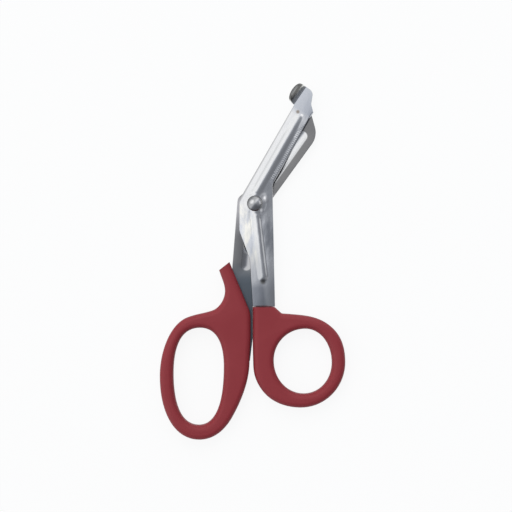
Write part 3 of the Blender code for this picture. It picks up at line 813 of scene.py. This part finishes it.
def build_washer():
    """The washer, thicker than the solids' one by as much as the boss is lower."""
    top = inner_z(BACK) - SHEET - BOSS_HEIGHT - SEAT_GAP
    low = top - SEAT_HEIGHT + BOSS_HEIGHT - WASHER_THICKNESS
    profile = [
        (BORE_RADIUS, top),
        (WASHER_RADIUS - WASHER_EASE, top),
        (WASHER_RADIUS, top - WASHER_EASE),
        (WASHER_RADIUS, low + WASHER_EASE),
        (WASHER_RADIUS - WASHER_EASE, low),
        (BORE_RADIUS, low),
    ]
    return turned("washer_fine", profile)


# Finishes

BRIGHT_SIDE = heading(math.radians(140))

BRIGHT_STEEL = (0.63, 0.635, 0.645)
DOME_STEEL = (0.32, 0.325, 0.335)
WASHER_STEEL = (0.52, 0.525, 0.54)
RED = (0.254, 0.025, 0.033)
DEEP_RED = (0.238, 0.023, 0.030)

# Steel's texture: noise scales, and how far clouds change its colour
CLOUD_SCALE = 90.0
CLOUD_TINTS = (0.97, 1.03)
SWELL_SCALE = (260, 110, 150)
SWELL_HEIGHT = 0.0006
SWELL_SPANS = ((-0.010, 0.004), (-0.042, -0.030))
BRUSH_SCALE = (40, 2500, 2500)
BRUSH_HEIGHT = 0.00002
RUBBED_STEEL = (0.19, 0.19, 0.193)
RUBBED_ROUGH = 0.18
RUBBED_DEPTH = (0.00006, 0.00020)

# The grips' plastic
PLASTIC_ROUGH = (0.48, 0.58)
PLASTIC_SPECULAR = 0.35
GRAIN_SCALE = 2600.0
GRAIN_STRENGTH = 0.25
GRAIN_HEIGHT = 0.00005

# Marks are ((x, y), radius), dents have a tilt too
MARK_CORE = 0.4
# Painted highlights on two patches of the rivet's dome, and painted shade on its steep rim
DOME_HIGHLIGHT = (0.66, 0.66, 0.67)
DOME_HIGHLIGHT_SPOTS = (((0.0024, 0.0006), 0.0026), ((-0.0017, 0.0010), 0.0016))
DOME_SHADED_RIM = (0.0078, 0.0088)
DOME_RIM_PAINTED_SHADE = (0.12, 0.122, 0.125)
# The colour of painted highlights, and spots of painted highlight: two in a crescent right of the
# boss, one below the pivot and one at the end of the shank's bead
PAINTED_HIGHLIGHT = (0.86, 0.85, 0.84)
HIGHLIGHT_SPOTS = (
    ((0.0044, 0.0042), 0.0024),
    ((0.0052, 0.0026), 0.0026),
    ((0.0034, -0.0035), 0.0014),
    ((0.0064, -0.0397), 0.0012),
)
DENTS = (
    ((0.0047, 0.0040), 0.0029, 0.085),
    ((0.0053, 0.0024), 0.0026, 0.13),
    ((0.0035, -0.0035), 0.0017, 0.18),
    ((0.0064, -0.0397), 0.0012, 0.05),
)
# Painted shade at the end of the shank's bead
BEAD_END_PAINTED_SHADE = (0.16, 0.16, 0.155)
BEAD_END_SHADE_SPOT = (((0.0044, -0.0416), 0.0019),)
# A spot of painted shade at the end of the bead near the tip, with a painted highlight beside it
TIP_BEAD_PAINTED_SHADE = (0.26, 0.23, 0.21)
TIP_BEAD_SHADE_SPOT = ((lower_point(0.0538, 0.0042), 0.0013),)
TIP_BEAD_HIGHLIGHT_SPOT = ((lower_point(0.0532, 0.0015), 0.0010),)

# The pressed blades' slight crown, with the moat round the boss
CROWN_CHANGE = (-0.016, 0.014)
BEND_START = -0.029
BEND_FALL = 2.4
MOAT_RADIUS = 0.0055
MOAT_WIDTH = 0.0011
MOAT_DEPTH = 0.00006

# Colours of the front blade, mostly painted light and shade, and their spans
# Painted shade in a line along the lower blade's spine
SPINE_SHADE_SPAN = (0.0070, 0.0077)
SPINE_PAINTED_SHADE = (0.60, 0.60, 0.60)
# Blue and cream streaks left of the shank's bead
STREAK_SCALE = (330, 90, 100)
STREAK_SPAN = (0.40, 0.58)
BLUE_STREAK = (0.55, 0.57, 0.61)
CREAM_STREAK = (0.75, 0.74, 0.70)
STREAK_SIDE = (0.0012, 0.0026)
STREAK_BAND = ((-0.036, -0.026), (-0.005, 0.001))
# Painted shade, a little blue, on the lower blade's shank towards the grip
SHANK_PAINTED_SHADE = (0.35, 0.37, 0.41)
NEAR_GRIP = (-0.045, -0.036)
LEFT_SPAN = (-0.032, -0.016)
RIGHT_SPAN = ((-0.033, -0.022), (-0.012, -0.006))
LEFT_SIDE = (-0.0010, 0.0010)
RIGHT_SIDE = (-0.0036, -0.0024)
# Painted darker, bluer shade towards the lower blade's tip
TIP_SPAN = (0.0515, 0.0555)
TIP_PAINTED_SHADE = (0.43, 0.45, 0.49)
# Painted light on the folded foot: a highlight on its bend, painted shade on its steep face and a
# lit rim
FOOT_SPAN = (0.0545, 0.0555)
FOOT_PAINTED_LIGHT = (
    ((0.95, 0.95, 0.92), (0.0062, 0.0067)),
    ((0.14, 0.14, 0.137), (0.0080, 0.0096)),
    ((0.40, 0.40, 0.39), (0.0112, 0.0121)),
)

# Painted shade and painted light on the back blade's shank, and the spans over which they come in
BACK_PAINTED_SHADES = (((0.25, 0.25, 0.255), (-0.014, 0.0)), ((0.144, 0.168, 0.192), (-0.040, -0.031)))
BACK_PAINTED_LIGHT = (0.46, 0.455, 0.47)
BACK_PAINTED_LIGHT_SPAN = ((-0.018, -0.004), (0.002, 0.006))
# Painted shade in the hollow of the upper shank's bead
GROOVE_PAINTED_SHADE = (0.40, 0.40, 0.41)
GROOVE_SPAN = (-0.016, -0.008)


class Nodes:
    """Shorthand for building the node tree of a new material or world."""

    def __init__(self, kind, name):
        self.owner = kind.new(name)
        self.owner.use_nodes = True
        self.tree = self.owner.node_tree
        self.shader = self.tree.nodes.get("Principled BSDF")

    def add(self, kind, **inputs):
        node = self.tree.nodes.new(kind)
        for name, value in inputs.items():
            self.feed(node.inputs[name], value)
        return node

    def link(self, source, target):
        self.tree.links.new(source, target)

    def feed(self, target, value):
        """Links a socket to the target, or sets the target to a number or a colour."""
        if isinstance(value, (int, float)):
            target.default_value = value
        elif isinstance(value, tuple):
            target.default_value = (*value, 1)
        else:
            self.link(value, target)


def place(nodes, scale=(1, 1, 1), turn=0.0):
    """Object coordinates turned by an angle about Z and then scaled."""
    where = nodes.add("ShaderNodeTexCoord")
    mapping = nodes.add("ShaderNodeMapping")
    mapping.vector_type = "TEXTURE"
    mapping.inputs["Scale"].default_value = [1 / factor for factor in scale]
    mapping.inputs["Rotation"].default_value = (0, 0, turn)
    nodes.link(where.outputs["Object"], mapping.inputs["Vector"])
    return mapping.outputs["Vector"]


def noise(nodes, vector, scale, detail):
    made = nodes.add("ShaderNodeTexNoise", Vector=vector, Scale=scale, Detail=detail)
    return made.outputs["Fac"]


def remap(nodes, value, low, high, from_low=0.3, from_high=0.7, ease="LINEAR"):
    ranges = {"From Min": from_low, "From Max": from_high, "To Min": low, "To Max": high}
    ranged = nodes.add("ShaderNodeMapRange", Value=value, **ranges)
    ranged.interpolation_type = ease
    return ranged.outputs["Result"]


def bump(nodes, height, strength, distance, after=None):
    inputs = {"Height": height, "Strength": strength, "Distance": distance}
    if after is not None:
        inputs["Normal"] = after
    return nodes.add("ShaderNodeBump", **inputs).outputs["Normal"]


def calc(nodes, operation, first, second=0.0):
    """One math node on sockets or plain numbers."""
    made = nodes.add("ShaderNodeMath")
    made.operation = operation
    nodes.feed(made.inputs[0], first)
    nodes.feed(made.inputs[1], second)
    return made.outputs["Value"]


def plus(nodes, first, second):
    return calc(nodes, "ADD", first, second)


def minus(nodes, first, second):
    return calc(nodes, "SUBTRACT", first, second)


def times(nodes, first, second):
    return calc(nodes, "MULTIPLY", first, second)


def at_least_zero(nodes, value):
    return calc(nodes, "MAXIMUM", value, 0.0)


def squared(nodes, value):
    return times(nodes, value, value)


def axes(nodes, vector):
    """The X, Y and Z sockets of a vector."""
    return nodes.add("ShaderNodeSeparateXYZ", Vector=vector).outputs


def mixed(nodes, share, first, second):
    """A colour between two, each a socket or a plain colour."""
    mix = nodes.add("ShaderNodeMix")
    mix.data_type = "RGBA"
    nodes.link(share, mix.inputs[0])
    nodes.feed(mix.inputs[6], first)
    nodes.feed(mix.inputs[7], second)
    return mix.outputs[2]


def vector_math(nodes, operation, vector, constant):
    made = nodes.add("ShaderNodeVectorMath", Vector=vector)
    made.operation = operation
    made.inputs[1].default_value = constant
    return made.outputs


def darkened(nodes, shade, levels):
    """The shade with each channel multiplied by its level."""
    return vector_math(nodes, "MULTIPLY", shade, levels)["Vector"]


def dot(nodes, vector, x, y):
    return vector_math(nodes, "DOT_PRODUCT", vector, (x, y, 0))["Value"]


def offset_from(nodes, vector, start, end):
    """Signed distance to the left of the line through start and end."""
    run = (Vector(end) - Vector(start)).normalized()
    return minus(nodes, dot(nodes, vector, -run.y, run.x), start[1] * run.x - start[0] * run.y)


def away_squared(nodes, vector, centre):
    """Square of the distance from the centre, seen from above."""
    x, y, _ = axes(nodes, vector)
    across = squared(nodes, minus(nodes, x, centre[0]))
    return plus(nodes, across, squared(nodes, minus(nodes, y, centre[1])))


def hump(nodes, share):
    """One where the share is nothing, with a soft fall to nothing where it is one."""
    return squared(nodes, at_least_zero(nodes, minus(nodes, 1.0, share)))


def band(nodes, value, rise, fall):
    """One from the rise's end to the fall's start, and nothing beyond the two."""
    return times(nodes, remap(nodes, value, 0, 1, *rise), remap(nodes, value, 1, 0, *fall))


def moat(nodes, vector):
    """Depth of the shallow ring drawn into the sheet round the pressed boss."""
    away = minus(nodes, calc(nodes, "SQRT", away_squared(nodes, vector, (0, 0))), MOAT_RADIUS)
    ring_share = squared(nodes, calc(nodes, "DIVIDE", away, MOAT_WIDTH))
    return times(nodes, hump(nodes, ring_share), MOAT_DEPTH)


def dent(nodes, vector, centre, radius, tilt):
    """Height of a small patch of the sheet that leans towards the bright side."""
    x, y, _ = axes(nodes, vector)
    lean = times(nodes, minus(nodes, x, centre[0]), -BRIGHT_SIDE.x * tilt)
    lean_along = times(nodes, minus(nodes, y, centre[1]), -BRIGHT_SIDE.y * tilt)
    share = calc(nodes, "DIVIDE", away_squared(nodes, vector, centre), radius**2)
    return times(nodes, plus(nodes, lean, lean_along), hump(nodes, share))


def crown(nodes, vector, beads, dents):
    """The slight crown that pressing leaves beside each bead, as a height.

    Each bead is (start, end, left fall, right fall, tilt, fade, round part). A fall is
    per square metre as far out as the round part, and goes on straight beyond it on the
    right. The right one fades to nothing at the fade's distance beyond the start. The
    tilt is per metre. The first bead is above the pivot and the second one below it.
    """
    heights = []
    for start, end, left_fall, right_fall, tilt, fade, round_part in beads:
        offset = offset_from(nodes, vector, start, end)
        left = times(nodes, squared(nodes, at_least_zero(nodes, offset)), -left_fall)
        away = at_least_zero(nodes, times(nodes, offset, -1.0))
        near = calc(nodes, "MINIMUM", away, round_part)
        beyond = times(nodes, minus(nodes, away, near), 2 * round_part)
        right = times(nodes, plus(nodes, squared(nodes, near), beyond), -right_fall)
        if fade:
            run = (Vector(end) - Vector(start)).normalized()
            aside = Vector(start) + Vector((run.y, -run.x))
            reach = offset_from(nodes, vector, start, aside)
            right = times(nodes, right, remap(nodes, reach, 1.0, 0.0, 0.0, fade))
        sides = plus(nodes, left, right)
        heights.append(plus(nodes, sides, times(nodes, offset, tilt)))
    _, along, _ = axes(nodes, vector)
    share = remap(nodes, along, 0.0, 1.0, *CROWN_CHANGE, "SMOOTHSTEP")
    upper = times(nodes, heights[0], share)
    height = plus(nodes, upper, times(nodes, heights[1], minus(nodes, 1.0, share)))
    bend = squared(nodes, at_least_zero(nodes, minus(nodes, BEND_START, along)))
    height = minus(nodes, height, times(nodes, bend, BEND_FALL))
    for centre, radius, tilt in dents:
        height = plus(nodes, height, dent(nodes, vector, centre, radius, tilt))
    return minus(nodes, height, moat(nodes, vector))


def inner_face(nodes, vector, side):
    """One on the ground flat where the two blades rub, and zero elsewhere."""
    _, _, z = axes(nodes, vector)
    depth = times(nodes, minus(nodes, z, inner_z(side)), side)
    return remap(nodes, depth, 1.0, 0.0, *RUBBED_DEPTH)


def marked(nodes, vector, shade, marks, colour):
    """The shade with round marks of a colour, each fading out towards its radius."""
    for centre, radius in marks:
        away = calc(nodes, "SQRT", away_squared(nodes, vector, centre))
        share = remap(nodes, away, 1.0, 0.0, radius * MARK_CORE, radius)
        shade = mixed(nodes, share, shade, colour)
    return shade


def dome_painted_light(nodes, vector, shade):
    """Painted highlights on two patches of the rivet's dome, and painted shade on its steep rim.
    """
    shade = marked(nodes, vector, shade, DOME_HIGHLIGHT_SPOTS, DOME_HIGHLIGHT)
    _, _, z = axes(nodes, vector)
    return mixed(nodes, remap(nodes, z, 1, 0, *DOME_SHADED_RIM), shade, DOME_RIM_PAINTED_SHADE)


def shank_painted_shade(nodes, aside, along, shade):
    """Painted shade: darkens the lower blade's shank towards the grip, most of all left of its
    bead.
    """
    near = remap(nodes, along, 0.90, 0.0, *NEAR_GRIP)
    left = calc(nodes, "MAXIMUM", remap(nodes, along, 0.48, 0.0, *LEFT_SPAN), near)
    share = remap(nodes, aside, 0, 1, *LEFT_SIDE)
    left = times(nodes, left, share)
    right = times(nodes, times(nodes, near, 0.5), minus(nodes, 1.0, share))
    rise, fall = RIGHT_SPAN
    fall = remap(nodes, along, 0.55, 0.0, *fall)
    middle = calc(nodes, "MINIMUM", remap(nodes, along, 0.0, 0.55, *rise), fall)
    middle = times(nodes, middle, remap(nodes, aside, 1, 0, *RIGHT_SIDE))
    share = plus(nodes, left, plus(nodes, right, middle))
    return mixed(nodes, share, shade, darkened(nodes, shade, SHANK_PAINTED_SHADE))


def back_shade(nodes, vector, shade, rubbed):
    """Painted light on the upper blade's shank towards the pivot, and painted shade on it by the
    grip.

    On the inner face only the hollow of its bead gets painted shade.
    """
    _, along, _ = axes(nodes, vector)
    hollow = mixed(nodes, remap(nodes, along, 1, 0, *GROOVE_SPAN), shade, GROOVE_PAINTED_SHADE)
    for colour, span in BACK_PAINTED_SHADES:
        shade = mixed(nodes, remap(nodes, along, 1, 0, *span), shade, colour)
    shade = mixed(nodes, band(nodes, along, *BACK_PAINTED_LIGHT_SPAN), shade, BACK_PAINTED_LIGHT)
    return mixed(nodes, rubbed, hollow, shade)


def front_shade(nodes, vector, shade):
    """The lower blade's colours: streaks, and painted light and shade on its spine, shank, spots,
    tip and foot.
    """
    offset = offset_from(nodes, vector, (0, 0), lower_point(1, 0))
    reach = offset_from(nodes, vector, (0, 0), lower_point(0, -1))
    spine = remap(nodes, offset, 0, 1, *SPINE_SHADE_SPAN)
    shade = mixed(nodes, spine, shade, darkened(nodes, shade, SPINE_PAINTED_SHADE))
    streaks = noise(nodes, place(nodes, STREAK_SCALE), 1.0, 2.0)
    streaked = mixed(nodes, remap(nodes, streaks, 0, 1, *STREAK_SPAN), BLUE_STREAK, CREAM_STREAK)
    aside = offset_from(nodes, vector, LOWER_SHANK_BEAD, LOWER_SHANK_START)
    _, along, z = axes(nodes, vector)
    share = times(nodes, remap(nodes, aside, 0, 1, *STREAK_SIDE), band(nodes, along, *STREAK_BAND))
    shade = mixed(nodes, share, shade, streaked)
    shade = shank_painted_shade(nodes, aside, along, shade)
    shade = marked(nodes, vector, shade, HIGHLIGHT_SPOTS, PAINTED_HIGHLIGHT)
    shade = marked(nodes, vector, shade, BEAD_END_SHADE_SPOT, BEAD_END_PAINTED_SHADE)
    shade = mixed(nodes, remap(nodes, reach, 0, 1, *TIP_SPAN), shade, TIP_PAINTED_SHADE)
    shade = marked(nodes, vector, shade, TIP_BEAD_SHADE_SPOT, TIP_BEAD_PAINTED_SHADE)
    shade = marked(nodes, vector, shade, TIP_BEAD_HIGHLIGHT_SPOT, PAINTED_HIGHLIGHT)
    ahead = remap(nodes, reach, 0, 1, *FOOT_SPAN)
    for colour, heights in FOOT_PAINTED_LIGHT:
        share = times(nodes, remap(nodes, z, 0, 1, *heights), ahead)
        shade = mixed(nodes, share, shade, colour)
    return shade


def steel(name, colour, rough, brush_angle, wave, brush, beads=None, side=None, domed=False):
    """Brushed steel, with the roughness's two ends and the strengths of wave and brushing.

    A blade's has beads and a side, and the rivet's is domed.
    """
    nodes = Nodes(bpy.data.materials, name)
    nodes.shader.inputs["Metallic"].default_value = 1.0
    plain = place(nodes)
    clouds = noise(nodes, plain, CLOUD_SCALE, 4.0)
    tints = [tuple(channel * level for channel in colour) for level in CLOUD_TINTS]
    shade = mixed(nodes, remap(nodes, clouds, 0, 1), *tints)
    gloss = remap(nodes, clouds, *rough)
    if side:
        rubbed = inner_face(nodes, plain, side)
        shade = mixed(nodes, rubbed, shade, RUBBED_STEEL)
        if side == FRONT:
            shade = front_shade(nodes, plain, shade)
        else:
            shade = back_shade(nodes, plain, shade, rubbed)
        gloss = plus(nodes, gloss, times(nodes, rubbed, RUBBED_ROUGH))
    if domed:
        shade = dome_painted_light(nodes, plain, shade)
    nodes.link(shade, nodes.shader.inputs["Base Color"])
    nodes.link(gloss, nodes.shader.inputs["Roughness"])
    normal = None
    if beads:
        dents = DENTS if side == FRONT else ()
        normal = bump(nodes, crown(nodes, plain, beads, dents), 1.0, 1.0)
    swells = noise(nodes, place(nodes, SWELL_SCALE), 1.0, 1.5)
    _, along, _ = axes(nodes, plain)
    above = remap(nodes, along, 1.0, 0.3, *SWELL_SPANS[0])
    below = remap(nodes, along, 0.15, 1.0, *SWELL_SPANS[1])
    height = times(nodes, swells, calc(nodes, "MINIMUM", above, below))
    normal = bump(nodes, height, wave, SWELL_HEIGHT, normal)
    lines = noise(nodes, place(nodes, BRUSH_SCALE, brush_angle), 1.0, 2.0)
    normal = bump(nodes, lines, brush, BRUSH_HEIGHT, normal)
    nodes.link(normal, nodes.shader.inputs["Normal"])
    return nodes.owner


def moulded(name):
    """The grips' satin red plastic, slightly grained."""
    nodes = Nodes(bpy.data.materials, name)
    plain = place(nodes)
    clouds = noise(nodes, plain, 60.0, 3.0)
    shade = mixed(nodes, remap(nodes, clouds, 0, 1), RED, DEEP_RED)
    nodes.link(shade, nodes.shader.inputs["Base Color"])
    nodes.link(remap(nodes, clouds, *PLASTIC_ROUGH), nodes.shader.inputs["Roughness"])
    nodes.shader.inputs["Specular IOR Level"].default_value = PLASTIC_SPECULAR
    grain = bump(nodes, noise(nodes, plain, GRAIN_SCALE, 2.0), GRAIN_STRENGTH, GRAIN_HEIGHT)
    nodes.link(grain, nodes.shader.inputs["Normal"])
    return nodes.owner


def dress(obj, material, body, node):
    obj.data.materials.clear()
    obj.data.materials.append(material)
    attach(obj, body)
    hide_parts(node)


def build_object():
    above = (lower_point(0, LOWER_BEAD_OFFSET), lower_point(1, LOWER_BEAD_OFFSET))
    crowned = (
        (*above, 8.0, 26.0, -0.02, 0.075, 0.0033),
        (LOWER_SHANK_BEAD, LOWER_SHANK_START, 8.0, 13.0, 0.0, None, 0.0060),
    )
    bowed = (
        (upper_point(0, 0), upper_point(1, 0), 0.0, 0.0, -0.05, None, 0.01),
        (UPPER_SHANK_BEAD, UPPER_SHANK_START, 0.0, 0.0, 0.04, None, 0.01),
    )
    lower = ("lower_blade_finish", BRIGHT_STEEL, (0.14, 0.20), LOWER_ANGLE, 0.40, 0.2)
    upper = ("upper_blade_finish", BRIGHT_STEEL, (0.14, 0.22), UPPER_ANGLE, 0.04, 0.2)
    front = steel(*lower, crowned, FRONT)
    back = steel(*upper, bowed, BACK)
    polished = steel("rivet_finish", DOME_STEEL, (0.16, 0.22), 0.0, 0.02, 0.05, domed=True)
    satin = steel("washer_finish", WASHER_STEEL, (0.28, 0.36), 0.0, 0.03, 0.2)
    thumb_plastic = moulded("thumb_grip_finish")
    finger_plastic = moulded("finger_grip_finish")
    dress(build_lower_blade(), front, "thumb_side", "lower_blade")
    dress(build_upper_blade(), back, "finger_side", "upper_blade")
    thumb_shape = (THUMB_OUTLINE, THUMB_HOLE, (0.0, GRIP_TOP), (0.02, GRIP_TOP))
    thumb = build_grip("thumb_grip_fine", *thumb_shape, lower_corners(), FRONT)
    dress(thumb, thumb_plastic, "thumb_side", "thumb_grip")
    finger_shape = (FINGER_OUTLINE, FINGER_HOLE, HORN_LEFT, HORN_RIGHT)
    finger = build_grip("finger_grip_fine", *finger_shape, upper_corners(), BACK)
    dress(finger, finger_plastic, "finger_side", "finger_grip")
    dress(build_rivet(), polished, "thumb_side", "rivet")
    dress(build_washer(), satin, "finger_side", "washer")


# Stage

CAMERA_DISTANCE = 0.8
SENSOR_WIDTH = 36
FLOOR_SIZE = 3.0
FLOOR_Z = -0.0002
FLOOR_PAPER = (0.86, 0.86, 0.86)
FLOOR_GLOW = (0.995, 0.998, 1.0)
GLOW_SHARE = 0.90
LAMP_TARGET = (0, -0.03, 0)


def build_camera():
    """Looks straight down on the point that is in the middle of the photograph."""
    middle = PHOTO_SIZE / 2
    centre = Vector((middle - PIVOT_PIXEL[0], PIVOT_PIXEL[1] - middle)) * METRES_PER_PIXEL
    camera = bpy.data.cameras.new("camera")
    camera.sensor_width = SENSOR_WIDTH
    camera.lens = SENSOR_WIDTH * CAMERA_DISTANCE / (PHOTO_SIZE * METRES_PER_PIXEL)
    obj = linked("camera", camera)
    obj.location = (centre.x, centre.y, CAMERA_DISTANCE + PARTING_Z)
    bpy.context.scene.camera = obj


def build_floor():
    """A white sheet, seen as plain white but still darker in the object's shadow."""
    bm = bmesh.new()
    bmesh.ops.create_grid(bm, x_segments=1, y_segments=1, size=FLOOR_SIZE)
    mesh = bpy.data.meshes.new("floor")
    bm.to_mesh(mesh)
    bm.free()
    floor = linked("floor", mesh)
    floor.location.z = FLOOR_Z
    nodes = Nodes(bpy.data.materials, "floor_paper")
    nodes.feed(nodes.shader.inputs["Base Color"], FLOOR_PAPER)
    nodes.shader.inputs["Roughness"].default_value = 0.9
    glow = nodes.add("ShaderNodeEmission", Color=FLOOR_GLOW)
    rays = nodes.add("ShaderNodeLightPath")
    seen = calc(nodes, "MAXIMUM", rays.outputs["Is Camera Ray"], rays.outputs["Is Glossy Ray"])
    seen = calc(nodes, "MAXIMUM", seen, rays.outputs["Is Transmission Ray"])
    mix = nodes.add("ShaderNodeMixShader")
    nodes.link(times(nodes, seen, GLOW_SHARE), mix.inputs[0])
    nodes.link(nodes.shader.outputs[0], mix.inputs[1])
    nodes.link(glow.outputs[0], mix.inputs[2])
    nodes.link(mix.outputs[0], nodes.tree.nodes["Material Output"].inputs["Surface"])
    floor.data.materials.append(nodes.owner)


def area_lamp(name, size, power, location):
    lamp = bpy.data.lights.new(name, "AREA")
    lamp.shape = "RECTANGLE"
    lamp.size, lamp.size_y = size
    lamp.energy = power
    obj = linked(name, lamp)
    obj.location = location
    towards = Vector(LAMP_TARGET) - Vector(location)
    obj.rotation_euler = towards.to_track_quat("-Z", "Y").to_euler()
    return obj


# Light from the dark side, at -1, to the bright side, at 1
SKY = [
    (-1.0, (0.22, 0.23, 0.25)),
    (-0.45, (0.27, 0.28, 0.31)),
    (-0.28, (0.32, 0.335, 0.37)),
    (-0.14, (0.42, 0.44, 0.48)),
    (-0.06, (0.70, 0.72, 0.77)),
    (0.02, (1.00, 1.02, 1.06)),
    (0.08, (1.12, 1.14, 1.18)),
    (0.13, (1.42, 1.40, 1.36)),
    (0.18, (1.06, 1.09, 1.17)),
    (0.24, (1.52, 1.50, 1.44)),
    (0.30, (1.10, 1.12, 1.19)),
    (0.37, (1.48, 1.46, 1.41)),
    (0.45, (1.14, 1.16, 1.21)),
    (0.55, (1.38, 1.38, 1.36)),
    (0.80, (0.95, 0.96, 0.98)),
    (0.92, (0.60, 0.61, 0.63)),
    (1.0, (0.50, 0.51, 0.53)),
]


def build_world():
    """A soft studio round the object, bright beyond its tips and dark behind its grips."""
    nodes = Nodes(bpy.data.worlds, "studio")
    bpy.context.scene.world = nodes.owner
    where = nodes.add("ShaderNodeTexCoord")
    side = dot(nodes, where.outputs["Generated"], *(BRIGHT_SIDE / 2))
    ramp = nodes.add("ShaderNodeValToRGB", Fac=plus(nodes, side, 0.5))
    elements = ramp.color_ramp.elements
    while len(elements) < len(SKY):
        elements.new(0.5)
    for element, (towards, level) in zip(elements, SKY):
        element.position = (towards + 1) / 2
        element.color = (*level, 1)
    nodes.link(ramp.outputs["Color"], nodes.tree.nodes["Background"].inputs["Color"])


def build_lamps():
    fill = area_lamp("top_panel", (1.0, 1.0), 6.0, (-0.3, 1.0, 1.2))
    fill.visible_glossy = False
    area_lamp("side_panel", (0.60, 0.40), 0.35, (0.88, 0.22, 0.42))


build_object()
build_camera()
build_floor()
build_world()
build_lamps()
bpy.context.scene.view_settings.view_transform = "Standard"
